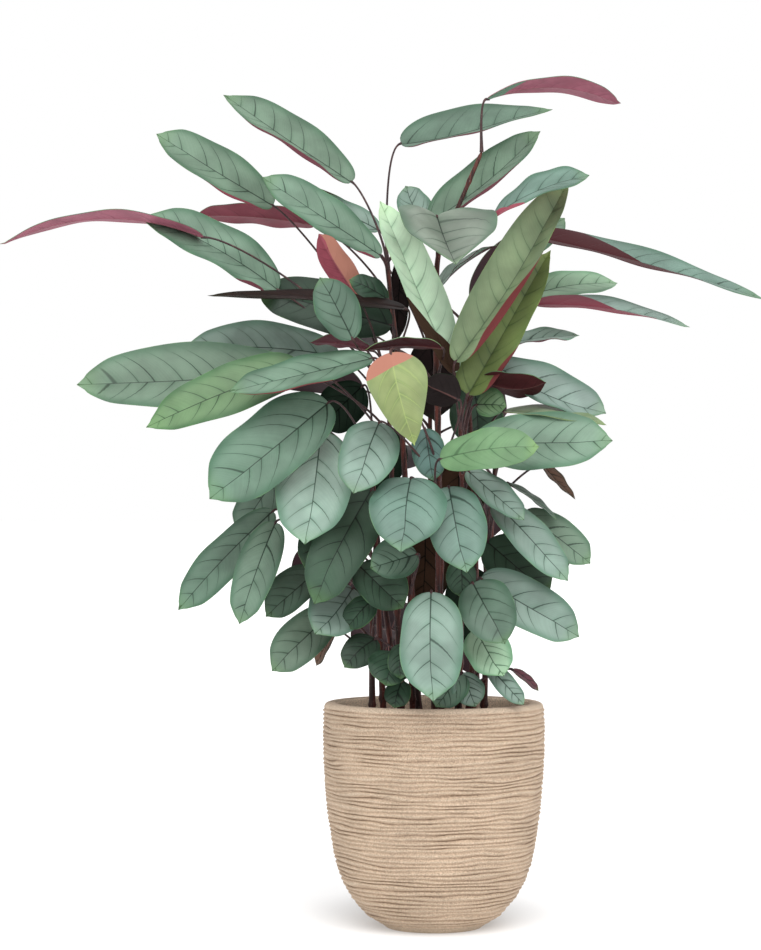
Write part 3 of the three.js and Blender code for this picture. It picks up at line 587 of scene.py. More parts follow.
def blade_mesh(blade):
    """Corners of one closed blade, its faces and the values of its corners.

    Each face is its corners, its material, whether it is on the right half and whether it is rim.
    """
    grid = blade_surface(blade)
    rows, columns = grid["u"].shape
    count = rows * columns
    foot, tip = 2 * count, 2 * count + 1
    centre = columns // 2
    last = (rows - 1) * columns
    faces = []
    for i in range(rows - 1):
        for j in range(columns - 1):
            a = i * columns + j
            b, c, d = a + 1, a + columns + 1, a + columns
            faces.append(((a, b, c, d), UPPER_SLOT, j >= centre, False))
            faces.append(((a + count, d + count, c + count, b + count), UNDER_SLOT, j >= centre, False))
    for j in range(columns - 1):
        a, b = j, last + j
        for face, slot in (((foot, a + 1, a), UPPER_SLOT), ((foot, a + count, a + 1 + count), UNDER_SLOT),
                           ((tip, b, b + 1), UPPER_SLOT), ((tip, b + 1 + count, b + count), UNDER_SLOT)):
            faces.append((face, slot, j >= centre, False))
    for edge, right in ((0, False), (columns - 1, True)):
        rim = [(a, a + columns, a + columns + count, a + count) for a in range(edge, last + edge, columns)]
        rim += [(foot, edge, edge + count), (tip, last + edge + count, last + edge)]
        faces += [(face[::-1] if right else face, UPPER_SLOT, right, True) for face in rim]

    def both(values, at_foot=0.0, at_tip=0.0):
        """Values of the upper grid, the lower grid and the two end points."""
        return np.concatenate([values.ravel(), values.ravel(), [at_foot, at_tip]])

    corners = np.concatenate([grid["upper"].reshape(-1, 3), grid["lower"].reshape(-1, 3), grid["ends"]])
    left, right = grid["strands"]
    values = {
        "share": both(grid["u"], 0.0, 1.0), "reach": both(grid["v"]),
        "left_strand": both(left, left[0, centre], left[-1, centre]),
        "right_strand": both(right, right[0, centre], right[-1, centre]),
        "half_width": both(grid["half"]), "rolled": both(grid["rolled"], UNROLLED, UNROLLED),
    }
    for name, value in (("vein_gap", blade.vein_spacing() * VEIN_GAP_SHARE),
                        ("leaf_number", blade.order * NUMBER_STEP + 1), ("fresh", blade.fresh),
                        ("young", blade.young), ("pale_veins", blade.pale_veins)):
        values[name] = np.full(len(corners), value)
    return corners, faces, values


def cane_point(places, share):
    """Point on the smooth curve through a cane's places."""
    last = len(places) - 1
    step = min(int(share * last), last - 1)
    weight = share * last - step
    here, there = places[step], places[step + 1]
    before = places[step - 1] if step > 0 else 2 * places[0] - places[1]
    after = places[step + 2] if step + 2 <= last else 2 * places[last] - places[last - 1]
    leave, arrive = 0.5 * (there - before), 0.5 * (after - here)
    return (here + leave * weight + (3 * (there - here) - 2 * leave - arrive) * weight ** 2
            + (2 * (here - there) + leave + arrive) * weight ** 3)


def cane_path(cane, random):
    """Points and radii of a cane from the bottom of its hole to its top, swollen at its nodes."""
    foot = cane[1]
    places = [spot(place) for place in [[*foot, SOIL_TOP + 8]] + cane[2:]]
    ground = spot([*foot, SOIL_TOP])
    points = [np.array([ground[0], ground[1], height]) for height in (SOIL_TOP - CANE_HOLE, SOIL_TOP + 1)]
    radii = [CANE_RADIUS, CANE_RADIUS]
    shift = random.uniform(0, NODE_SPACING)
    for step in range(1, CANE_STEPS + 1):
        share = step / CANE_STEPS
        point = cane_point(places, share)
        radius = CANE_RADIUS + (CANE_TOP_RADIUS - CANE_RADIUS) * share
        from_node = (point[2] + shift) % NODE_SPACING
        sheath = math.exp(-((from_node / 5) ** 2)) + 0.45 * math.exp(-from_node / 28)
        points.append(point)
        radii.append(radius * (0.86 + 0.26 * sheath))
    radii[-1] *= 0.5
    return np.array(points), np.array(radii), places


def stalk_path(blade, places):
    """Points and radii of a leaf stalk: sheathed at the cane, arching over, thick below the blade."""
    low, high = 0.0, 1.0
    for _ in range(24):
        half = (low + high) / 2
        if cane_point(places, half)[2] < blade.attach:
            low = half
        else:
            high = half
    root = cane_point(places, low)
    span = np.linalg.norm(blade.start - root)
    rise = root + np.array([0, 0, STALK_RISE * span])
    reach = blade.start - blade.run * STALK_REACH * span
    points, radii = [], []
    for step in range(STALK_STEPS + 1):
        t = step / STALK_STEPS
        points.append((1 - t) ** 3 * root + 3 * t * (1 - t) ** 2 * rise + 3 * t * t * (1 - t) * reach
                      + t ** 3 * blade.start)
        sheath = STALK_SHEATH * math.exp(-t * span / 22)
        joint = STALK_JOINT * math.exp(-(((1 - t) * span / 9) ** 2))
        radii.append(STALK_RADIUS - STALK_THINNING * t + sheath + joint)
    points.append(blade.start + blade.run * 5 - blade.face * 0.8)
    radii.append(STALK_END_RADIUS)
    return np.array(points), np.array(radii)


def stem_mesh(cane, blades):
    """One mesh with the closed blades of a cane and the lines that its cane and stalks follow."""
    random = np.random.default_rng(CANE_SEED + int(cane[0]))
    corners, faces, values = [], [], {}
    start = 0
    for blade in blades:
        own_corners, own_faces, own_values = blade_mesh(blade)
        light = random.uniform(*BLADE_LIGHT)
        for name, tone in (("upper_tone", blade.upper), ("under_tone", blade.under)):
            lit = np.array([*linear(TONES[tone]), 1.0]) * [light, light, light, 1]
            own_values[name] = np.tile(lit, (len(own_corners), 1))
        corners.append(own_corners)
        faces += [([corner + start for corner in face], *facts) for face, *facts in own_faces]
        for name, value in own_values.items():
            values.setdefault(name, []).append(value)
        start += len(own_corners)
    values = {name: np.concatenate(parts) for name, parts in values.items()}
    shares, reaches = values.pop("share"), values.pop("reach")
    left_strand, right_strand = values.pop("left_strand"), values.pop("right_strand")
    faces, slots, on_right, rims = zip(*faces)

    blade_corners = start
    edges, thickness, kind = [], [], []
    points, radii, places = cane_path(cane, random)
    paths = [(points, radii, 0)] + [(*stalk_path(blade, places), 1) for blade in blades]
    for points, radii, sort in paths:
        corners.append(points)
        edges += [(start + k, start + k + 1) for k in range(len(points) - 1)]
        thickness.append(radii * MM)
        kind.append(np.full(len(points), sort))
        start += len(points)
    extra = start - blade_corners

    mesh = bpy.data.meshes.new(f"stem_{cane[0]}_lines")
    mesh.from_pydata((np.concatenate(corners) * MM).tolist(), edges, faces)
    blank = np.zeros(blade_corners)
    write_values(mesh, "on_line", np.concatenate([blank, np.ones(extra)]))
    write_values(mesh, "thickness", np.concatenate([blank, *thickness]))
    write_values(mesh, "stalk", np.concatenate([blank, *kind]))
    for name, value in values.items():
        if value.ndim == 2:
            write_tones(mesh, name, np.concatenate([value, np.ones((extra, 4))]))
        else:
            write_values(mesh, name, np.concatenate([value, np.zeros(extra)]))
    corner_of = np.empty(len(mesh.loops), int)
    mesh.loops.foreach_get("vertex_index", corner_of)
    on_right = np.repeat(on_right, [len(face) for face in faces])
    strand = np.where(on_right, right_strand[corner_of], left_strand[corner_of])
    write_map(mesh, "veins", strand, np.abs(reaches[corner_of]))
    write_map(mesh, "blade", reaches[corner_of], shares[corner_of])
    mesh.polygons.foreach_set("material_index", slots)
    mesh.polygons.foreach_set("use_smooth", [not rim for rim in rims])
    mesh.update()
    return mesh


def write_values(mesh, name, values):
    mesh.attributes.new(name, "FLOAT", "POINT").data.foreach_set("value", np.asarray(values, np.float32))


def write_tones(mesh, name, values):
    layer = mesh.attributes.new(name, "FLOAT_COLOR", "POINT")
    layer.data.foreach_set("color", np.asarray(values, np.float32).ravel())


def write_map(mesh, name, first, second):
    layer = mesh.uv_layers.new(name=name)
    layer.data.foreach_set("uv", np.stack([first, second], axis=1).astype(np.float32).ravel())


class Tree:
    """Short hand for building a node tree; places its nodes in columns as they come."""

    def __init__(self, tree):
        self.tree = tree
        self.count = 0

    def node(self, kind, inputs=(), **settings):
        """New node with its settings; its inputs are fed by name or number."""
        made = self.tree.nodes.new(kind)
        made.location = (220 * (self.count // 4), -230 * (self.count % 4))
        self.count += 1
        for name, value in settings.items():
            setattr(made, name, value)
        for key, value in dict(inputs).items():
            self.feed(made.inputs[key], value)
        return made

    def feed(self, socket, value):
        """Links a socket to an output, or sets its constant; a colour of three numbers is opaque."""
        if isinstance(value, bpy.types.NodeSocket):
            self.tree.links.new(value, socket)
        elif socket.type == "RGBA":
            socket.default_value = (*value[:3], 1.0)
        else:
            socket.default_value = value

    def calc(self, operation, *values):
        """Result of a sum on plain values."""
        return self.node("ShaderNodeMath", enumerate(values), operation=operation).outputs[0]

    def times(self, *values):
        """Product of two or more values."""
        product = values[0]
        for value in values[1:]:
            product = self.calc("MULTIPLY", product, value)
        return product

    def scaled(self, value, factor, shift):
        """The value times a factor, plus a shift."""
        return self.calc("MULTIPLY_ADD", value, factor, shift)

    def step(self, value, low, high, start=0.0, end=1.0):
        """Soft step from start at low to end at high."""
        given = enumerate((value, low, high, start, end))
        return self.node("ShaderNodeMapRange", given, interpolation_type="SMOOTHSTEP").outputs[0]

    def mix(self, share, first, second, mode="MIX"):
        """Two colours mixed; a share of 1 gives the second."""
        inputs = {0: share, 6: first, 7: second}
        return self.node("ShaderNodeMix", inputs, data_type="RGBA", blend_type=mode).outputs[2]

    def shaded(self, tone, shade):
        """A tone multiplied by another, or by a plain value."""
        if getattr(shade, "type", None) == "VALUE":
            shade = self.node("ShaderNodeCombineColor", enumerate((shade, shade, shade))).outputs[0]
        return self.mix(1.0, tone, shade, "MULTIPLY")

    def noise(self, place, scale, detail=2.0, roughness=0.5):
        inputs = {"Vector": place, "Scale": scale, "Detail": detail, "Roughness": roughness}
        return self.node("ShaderNodeTexNoise", inputs).outputs[0]

    def object_place(self):
        return self.node("ShaderNodeTexCoord").outputs["Object"]

    def value(self, name):
        """A number that the mesh holds for each corner."""
        return self.node("ShaderNodeAttribute", attribute_name=name).outputs["Fac"]

    def tone(self, name):
        """A colour that the mesh holds for each corner."""
        return self.node("ShaderNodeAttribute", attribute_name=name).outputs["Color"]

    def parts(self, vector):
        """The three numbers of a vector."""
        return self.node("ShaderNodeSeparateXYZ", {0: vector}).outputs

    def bump(self, height, distance, strength):
        inputs = {"Height": height, "Distance": distance, "Strength": strength}
        return self.node("ShaderNodeBump", inputs).outputs[0]

    def group(self, tree, **values):
        """A node group, whose inputs are given in small letters with underscores."""
        inputs = {name.replace("_", " ").title(): value for name, value in values.items()}
        return self.node("ShaderNodeGroup", node_tree=tree, inputs=inputs).outputs


def new_group(name, kind, inputs, outputs):
    """Node group with named sockets; an input is its name, its kind of socket and its default."""
    tree = bpy.data.node_groups.new(name, kind)
    for label, socket, default in inputs:
        made = tree.interface.new_socket(label, in_out="INPUT", socket_type=f"NodeSocket{socket}")
        if default is not None:
            made.default_value = default
    for label, socket in outputs:
        tree.interface.new_socket(label, in_out="OUTPUT", socket_type=f"NodeSocket{socket}")
    work = Tree(tree)
    return work, work.node("NodeGroupInput").outputs, work.node("NodeGroupOutput").inputs


def new_material(name, roughness=None, specular=0.5):
    """Material with its Principled shader; the returned tree adds nodes to it."""
    made = bpy.data.materials.new(name)
    made.use_nodes = True
    shader = made.node_tree.nodes["Principled BSDF"]
    if roughness is not None:
        shader.inputs["Roughness"].default_value = roughness
    shader.inputs["Specular IOR Level"].default_value = specular
    return made, Tree(made.node_tree), shader.inputs


def sand_group():
    """Sandy grain of clay and soil: tone, small specks and height, on object coordinates."""
    work, given, out = new_group("Sandy Grain", "ShaderNodeTree",
                                 [("Grain Scale", "Float", 800.0), ("Contrast", "Float", 0.3)],
                                 [(name, "Float") for name in ("Tone", "Specks", "Height")])
    place = work.object_place()
    fine = work.noise(place, given["Grain Scale"], 2.0, 0.6)
    grain = work.step(fine, 0.3, 0.7, -1.0, 1.0)
    drift = work.step(work.noise(place, 14.0), 0.3, 0.7, 0.93, 1.06)
    work.feed(out["Tone"], work.times(work.scaled(grain, given["Contrast"], 1.0), drift))
    dots = work.noise(place, work.times(given["Grain Scale"], 0.62), 1.0)
    work.feed(out["Specks"], work.step(dots, 0.66, 0.74))
    work.feed(out["Height"], fine)
    return work.tree


def vein_group():
    """Where a leaf's midrib, side veins, fine lines, margin and tip lie, from its own UV maps."""
    inputs = [("Vein Width", "Float", 1.3), ("Midrib Width", "Float", 1.7), ("Margin Width", "Float", 1.5)]
    names = ["Midrib", "Side Veins", "Halo", "Fine Lines", "Border", "Margin", "Tip", "Rolled"]
    work, given, out = new_group("Leaf Veins", "ShaderNodeTree", inputs, [(name, "Float") for name in names])
    strand, away = work.parts(work.node("ShaderNodeUVMap", uv_map="veins").outputs[0])[:2]
    along = work.parts(work.node("ShaderNodeUVMap", uv_map="blade").outputs[0])[1]
    half, gap, fresh = work.value("half_width"), work.value("vein_gap"), work.value("fresh")

    index = work.calc("FLOOR", strand)
    apart = work.times(work.calc("ABSOLUTE", work.calc("SUBTRACT", work.calc("FRACT", strand), 0.5)), gap)
    seed = work.node("ShaderNodeCombineXYZ", {0: index, 1: work.value("leaf_number")}).outputs[0]
    chance = work.node("ShaderNodeTexWhiteNoise", {"Vector": seed}, noise_dimensions="2D").outputs["Color"]
    draw = work.node("ShaderNodeSeparateColor", {0: chance}).outputs
    reach = work.scaled(draw[0], 0.22, 0.74)
    fade = work.step(work.calc("SUBTRACT", reach, away), -0.06, 0.22)
    strength = work.scaled(draw[1], 0.45, 0.55)
    width = work.times(given["Vein Width"], work.scaled(away, -0.62, 1.0))
    line = work.step(apart, work.times(width, 0.2), width, 1.0, 0.0)
    work.feed(out["Side Veins"], work.times(line, fade, strength))
    soft = work.step(apart, 0.0, work.times(gap, 0.3), 1.0, 0.0)
    work.feed(out["Halo"], work.times(soft, work.step(away, 0.0, 0.5, 1.0, 0.35)))
    ripple = work.calc("SINE", work.times(strand, 2 * math.pi * 9))
    work.feed(out["Fine Lines"], work.scaled(ripple, 0.5, 0.5))

    rib = work.times(given["Midrib Width"], work.scaled(along, -0.72, 1.08))
    work.feed(out["Midrib"], work.step(work.times(away, half), work.times(rib, 0.25), rib, 1.0, 0.0))
    from_edge = work.times(work.calc("SUBTRACT", 1.0, away), half)
    edge = work.step(from_edge, work.times(given["Margin Width"], 0.35), given["Margin Width"], 1.0, 0.0)
    work.feed(out["Margin"], work.times(edge, fresh))
    work.feed(out["Tip"], work.times(work.step(along, 0.86, 1.02), fresh))
    work.feed(out["Border"], work.calc("POWER", work.step(away, 0.5, 1.0), 1.6))
    work.feed(out["Rolled"], work.step(work.value("rolled"), *ROLL_EDGE))
    return work.tree


def upper_face_material(leaf, veins):
    """Satin upper face with dark feathered veins; where an edge rolls over, the underside shows."""
    made, work, shader = new_material("leaf_upper_face", specular=0.34)
    masks = work.group(veins, vein_width=leaf.vein_width / MM, midrib_width=leaf.midrib_width / MM)
    place = work.object_place()
    cloud = work.noise(place, 17.0, 3.0)
    young, fresh = work.value("young"), work.value("fresh")
    # The cloud's soft brighter and darker patches are partly the leaf's own uneven tone and partly painted
    # light and shade across the blade.
    tone = work.shaded(work.tone("upper_tone"), work.step(cloud, 0.3, 0.7, 0.8, 1.16))
    tone = work.shaded(tone, work.scaled(masks["Fine Lines"], 0.05, 0.965))

    feathers = work.shaded(tone, FEATHER_SHADE)
    tone = work.mix(work.times(masks["Halo"], 0.36), tone, feathers)
    tone = work.mix(work.times(masks["Border"], work.scaled(young, -0.6, 0.82)), tone, feathers)
    vein = work.mix(work.value("pale_veins"), work.shaded(tone, leaf.vein_shade), PALE_VEIN)
    clear = work.scaled(young, -0.42, 0.92)
    for mask in ("Side Veins", "Midrib"):
        tone = work.mix(work.times(masks[mask], clear), tone, vein)
    edge = work.mix(0.55, tone, work.mix(young, leaf.edge_colour, leaf.young_edge_colour))
    patchy = work.step(work.noise(place, 34.0, 1.0), 0.42, 0.62, 0.0, 0.45)
    tone = work.mix(work.times(masks["Margin"], patchy), tone, edge)
    tone = work.mix(work.times(masks["Tip"], 0.4), tone, edge)
    work.feed(shader["Base Color"], work.mix(masks["Rolled"], tone, work.tone("under_tone")))

    matt = work.step(work.value("rolled"), *ROLL_EDGE, 1.0, 0.25)
    work.feed(shader["Specular IOR Level"], work.times(work.scaled(fresh, 0.3, 0.02), matt))
    work.feed(shader["Roughness"], work.scaled(cloud, 0.16, leaf.roughness - 0.08))
    height = work.scaled(masks["Side Veins"], -1.0, work.times(masks["Fine Lines"], 0.12))
    work.feed(shader["Normal"], work.bump(height, 0.0004, 0.6))
    return made


def under_face_material(leaf, veins):
    """Duller underside with a brown midrib; where an edge rolls over, the upper face shows."""
    made, work, shader = new_material("leaf_underside", specular=0.14)
    masks = work.group(veins, vein_width=leaf.vein_width / MM, midrib_width=1.3 * leaf.midrib_width / MM)
    cloud = work.noise(work.object_place(), 30.0, 3.0, 0.55)
    tone = work.shaded(work.tone("under_tone"), work.step(cloud, 0.3, 0.72, 0.84, 1.12))
    tone = work.shaded(tone, work.scaled(masks["Fine Lines"], 0.12, 0.92))
    tone = work.mix(work.times(masks["Side Veins"], 0.6), tone, work.shaded(tone, UNDER_VEIN_SHADE))
    tone = work.mix(work.times(masks["Midrib"], 0.8), tone, work.mix(0.5, tone, UNDER_MIDRIB))
    tone = work.mix(work.times(masks["Margin"], 0.2), tone, work.mix(0.5, tone, leaf.edge_colour))
    work.feed(shader["Base Color"], work.mix(masks["Rolled"], tone, work.tone("upper_tone")))
    work.feed(shader["Roughness"], work.scaled(cloud, 0.14, leaf.roughness + 0.02))
    height = work.scaled(masks["Side Veins"], 1.0, work.times(masks["Fine Lines"], 0.15))
    work.feed(shader["Normal"], work.bump(height, 0.0004, 0.6))
    return made


def streaky_skin(name, dark, bright, pale, along_scale, roughness):
    """Skin of canes and stalks: streaks along the stem, with pale flecks."""
    made, work, shader = new_material(name, roughness, 0.35)
    place = work.object_place()
    stretch = work.node("ShaderNodeMapping", {"Vector": place, "Scale": (1.0, 1.0, along_scale)})
    streak = work.step(work.noise(stretch.outputs[0], 170.0), 0.3, 0.74)
    patch = work.step(work.noise(place, 17.0), 0.38, 0.64)
    flecks = work.step(work.noise(place, 420.0, 1.0), 0.64, 0.74)
    tone = work.mix(streak, dark, bright)
    tone = work.mix(work.times(patch, 0.45), tone, dark)
    work.feed(shader["Base Color"], work.mix(work.times(flecks, 0.2), tone, pale))
    work.feed(shader["Normal"], work.bump(streak, 0.0003, 0.5))
    return made


def clay_material(planter, sand):
    """Sandy clay with painted shade in dark, ragged lines down the grooves, a painted highlight on the paler
    crowns, and a lighter inside that paints light where the leaves shade it.
    """
    made, work, shader = new_material("planter_clay", 0.88, 0.3)
    grain = work.group(sand, grain_scale=1 / planter.grain_size, contrast=0.27)
    count = work.value("rib_count")
    offset = work.calc("ABSOLUTE", work.calc("SUBTRACT", count, work.calc("ROUND", count)))
    # Painted shade: a dark, ragged line down each groove, as strong as the groove is deep.
    ragged = work.scaled(grain["Height"], 0.14, work.calc("SUBTRACT", offset, 0.07))
    line = work.times(work.step(ragged, 0.02, 0.17, 1.0, 0.0), work.value("groove_shade_depth"))
    tone = work.mix(work.times(line, 0.8), planter.crest_colour, planter.groove_shade_and_speck_colour)
    # Painted highlight: a paler colour along the crowns of the ribs.
    tone = work.mix(work.times(work.step(offset, 0.25, 0.5), 0.45), tone, planter.crown_highlight_colour)
    # Painted light: the inside of the rim takes a lighter colour, where the leaves shade it.
    tone = work.mix(work.value("inside"), tone, planter.inner_painted_light_colour)
    tone = work.shaded(tone, grain["Tone"])
    work.feed(shader["Base Color"], work.mix(work.times(grain["Specks"], 0.35), tone, planter.groove_shade_and_speck_colour))
    work.feed(shader["Normal"], work.bump(grain["Height"], 0.0006, 0.55))
    return made


def earth_material(soil, sand):
    """Moist earth with patches of drier crumbs."""
    made, work, shader = new_material("soil_earth", 0.93, 0.2)
    grain = work.group(sand, grain_scale=420.0, contrast=0.4)
    patch = work.step(work.noise(work.object_place(), 60.0, 3.0, 0.6), 0.36, 0.66)
    tone = work.mix(patch, soil.dark_colour, soil.light_colour)
    work.feed(shader["Base Color"], work.shaded(tone, grain["Tone"]))
    work.feed(shader["Normal"], work.bump(grain["Height"], 0.0015, 0.8))
    return made


def floor_material_painted_shadow(glow):
    """Pale matt floor with a glow of its own, so that only the shadow at the foot shows on it; that shadow is
    partly rendered and partly painted, by a glow that weakens round the foot.
    """
    made, work, shader = new_material("studio_floor_painted_shadow", 0.9, 0.0)
    place = work.object_place()
    drift = work.step(work.noise(place, 2.0), 0.3, 0.7, 0.62, 0.64)
    work.feed(shader["Base Color"], work.shaded(WHITE, drift))
    # Painted shadow: the glow falls to a third in a soft patch centred just behind the planter's foot.
    shift = work.node("ShaderNodeMapping", {
        "Vector": place, "Location": (0.0, -0.55, 0.0), "Scale": (4.4, 3.4, 1.0)})
    away = work.node("ShaderNodeVectorMath", {0: shift.outputs[0]}, operation="LENGTH").outputs["Value"]
    work.feed(shader["Emission Strength"], work.step(away, 0.35, 1.1, 0.35 * glow, glow))
    work.feed(shader["Emission Color"], WHITE)
    return made


def wall_radius(height):
    """Outer radius of the planter's wall."""
    heights, radii = zip(*WALL_PROFILE)
    return float(np.interp(height, heights, radii))


def bend(radius, height, size, turns):
    """Places round a bend of the wall about its middle, for turns in degrees."""
    turns = [math.radians(turn) for turn in turns]
    return [(radius + size * math.cos(turn), height + size * math.sin(turn)) for turn in turns]


def turned_faces(rows, columns):
    """Faces of a closed turned body whose two middle points follow its rings of corners."""
    faces = []
    for row in range(rows - 1):
        for column in range(columns):
            a = row * columns + column
            b = row * columns + (column + 1) % columns
            faces.append((a, b, b + columns, a + columns))
    first_middle, last = rows * columns, (rows - 1) * columns
    for column in range(columns):
        after = (column + 1) % columns
        faces.append((first_middle, after, column))
        faces.append((first_middle + 1, last + column, last + after))
    return faces


def turned_mesh(name, corners, rows, columns):
    mesh = bpy.data.meshes.new(name)
    mesh.from_pydata((np.array(corners) * MM).tolist(), [], turned_faces(rows, columns))
    mesh.shade_smooth()
    return mesh


def planter_mesh(planter):
    """Closed shell of the planter, whose outer wall carries the wavy ribs."""
    pitch, relief, sway = planter.rib_pitch / MM, planter.rib_relief / MM, planter.hand_sway / MM
    rim = wall_radius(RIM_HEIGHT)
    lip = RIM_HEIGHT - LIP_OUTER_ROUND
    outline = list(FOOT_OUTLINE)
    first = len(outline)
    outline += [(wall_radius(height), height) for height in np.linspace(5, lip, PLANTER_ROWS)]
    ribbed = range(first, len(outline))
    outline += bend(rim - LIP_OUTER_ROUND, lip, LIP_OUTER_ROUND, np.linspace(0, 90, 8)[1:])
    outline.append((rim - LIP_MIDDLE, RIM_HEIGHT))
    outline += bend(rim - WALL + LIP_INNER_ROUND, RIM_HEIGHT - LIP_INNER_ROUND, LIP_INNER_ROUND,
                    np.linspace(90, 180, 7))
    # The lighter inner colour, painted light on the shaded inside, starts halfway round the inner edge of the
    # lip.
    outer_last = ribbed[-1] + 11
    for height in (341, 334, 320, SOIL_TOP, *reversed(INNER_HEIGHTS), PLANTER_FLOOR + FLOOR_BEND):
        outline.append((wall_radius(height) - WALL, height))
    outline += [(wall_radius(PLANTER_FLOOR) - WALL - FLOOR_INSET, PLANTER_FLOOR), (30, PLANTER_FLOOR)]
    corners, counts, depths, inside = [], [], [], []
    for row, (radius, height) in enumerate(outline):
        for column in range(PLANTER_COLUMNS):
            turn = 2 * math.pi * column / PLANTER_COLUMNS
            x, y = math.cos(turn), math.sin(turn)
            out, count, depth = 0.0, 0.5, 0.0
            if row in ribbed:
                out, count, depth = rib_form(x * radius, y * radius, height, pitch, relief)
                out += sway * rough(x * radius / 90, y * radius / 90, height / 90)
            corners.append(((radius + out) * x, (radius + out) * y, height))
            counts.append(count)
            depths.append(depth)
            inside.append(float(row > outer_last))
    rows = len(outline)
    mesh = turned_mesh("planter_dressed", corners + [(0, 0, 0), (0, 0, PLANTER_FLOOR)], rows, PLANTER_COLUMNS)
    write_values(mesh, "rib_count", counts + [0.5, 0.5])
    # How deep each groove is, by which the clay paints shade down the grooves.
    write_values(mesh, "groove_shade_depth", depths + [0, 0])
    write_values(mesh, "inside", inside + [0, 1])
    return mesh


def rib_form(x, y, height, pitch, relief):
    """Outward relief, count of ribs from the rim and depth of the groove where ribs wander past."""
    wander = 4.2 * rough(x / 115, y / 115, height / 18) + 2.6 * rough(x / 52 + 9, y / 52, height / 9)
    count = (height - RIM_HEIGHT + RIM_BAND + wander * float(smooth(0, 30, RIM_HEIGHT - height))) / pitch
    if count > 0.5 or height < FOOT_BAND:
        return 0.0, 0.5, 0.0
    index = math.floor(count + 0.5)
    from_groove = (count - index) * pitch
    cut = rough(x / 88, y / 88, index * 3.7) + 0.5 * rough(x / 34, y / 34, index * 2.3)
    cut = 0.2 + 0.8 * float(smooth(-0.4, 0.35, cut))
    worn = 0.5 + 0.5 * float(smooth(-0.4, 0.2, rough(x / 70 + 5, y / 70, height / 60)))
    depth = cut * worn * float(smooth(FOOT_BAND, 15, height))
    groove = depth * math.exp(-((from_groove / GROOVE_WIDTH) ** 2))
    crest = math.cos(math.pi * min(abs(from_groove) / pitch, 0.5)) ** 2
    swell = rough(x / 50, y / 50, index * 5.1 + 40)
    return relief * ((0.5 + 0.3 * swell) * (1 - crest) - 0.6 * groove), count, depth


def soil_mesh(soil):
    """Closed body of soil in the planter with an uneven top."""
    low = wall_radius(PLANTER_FLOOR + FLOOR_BEND) - WALL
    outline = [(low - SOIL_GAP - SOIL_INSET, PLANTER_FLOOR + SOIL_GAP)]
    for height in (*INNER_HEIGHTS, SOIL_TOP - 5):
        outline.append((wall_radius(height) - WALL - SOIL_GAP, height))
    edge = wall_radius(SOIL_TOP) - WALL - SOIL_GAP
    outline += [(edge * share, SOIL_TOP) for share in (1, 0.985, 0.96, *np.linspace(0.92, 0.04, 26))]
    corners = []
    for radius, height in outline:
        for column in range(SOIL_COLUMNS):
            turn = 2 * math.pi * column / SOIL_COLUMNS
            x, y = radius * math.cos(turn), radius * math.sin(turn)
            rise = 0.0
            if height == SOIL_TOP:
                heaps = noise.fractal(Vector((x, y, 0)) / 26, 0.6, 2.1, 4)
                rise = soil.unevenness / MM * heaps + 2.5 * rough(x / 8, y / 8, 9 / 8)
            corners.append((x, y, height + rise))
    middles = [(0, 0, PLANTER_FLOOR + SOIL_GAP), (0, 0, SOIL_TOP + 1)]
    return turned_mesh("soil_bed", corners + middles, len(outline), SOIL_COLUMNS)


def named_value(work, name):
    made = work.node("GeometryNodeInputNamedAttribute", {"Name": name}, data_type="FLOAT")
    return made.outputs["Attribute"]


def joined(work, *pieces):
    """Pieces as one geometry without instances."""
    whole = work.node("GeometryNodeJoinGeometry")
    for piece in pieces:
        work.feed(whole.inputs[0], piece)
    return work.node("GeometryNodeRealizeInstances", {0: whole.outputs[0]}).outputs[0]


def painted(work, geometry, material, selection=True):
    """Geometry with its material set where the selection holds."""
    inputs = {"Geometry": geometry, "Selection": selection, "Material": material}
    return work.node("GeometryNodeSetMaterial", inputs).outputs[0]


def stem_tree():
    """Sweeps a round skin along the lines of a stem and keeps its blades as they are."""
    inputs = [("Geometry", "Geometry", None), ("Sides", "Int", 12), ("Cane Bark", "Material", None),
              ("Stalk Skin", "Material", None)]
    work, given, out = new_group("Grown Stem", "GeometryNodeTree", inputs, [("Geometry", "Geometry")])
    on_line = work.calc("GREATER_THAN", named_value(work, "on_line"), 0.5)
    stalk = work.calc("GREATER_THAN", named_value(work, "stalk"), 0.5)
    parts = work.node("GeometryNodeSeparateGeometry", {"Geometry": given["Geometry"], "Selection": on_line},
                      domain="POINT").outputs
    lines = work.node("GeometryNodeMeshToCurve", {"Mesh": parts["Selection"]}).outputs[0]
    ring = work.node("GeometryNodeCurvePrimitiveCircle", {"Resolution": given["Sides"], "Radius": 1.0})
    skin = work.node("GeometryNodeCurveToMesh", {
        "Curve": lines, "Profile Curve": ring.outputs[0], "Scale": named_value(work, "thickness"),
        "Fill Caps": True})
    soft = work.node("GeometryNodeSetShadeSmooth", {"Geometry": skin.outputs[0]})
    whole = joined(work, soft.outputs[0], parts["Inverted"])
    whole = painted(work, whole, given["Cane Bark"], on_line)
    whole = painted(work, whole, given["Stalk Skin"], stalk)
    work.feed(out["Geometry"], whole)
    return work.tree


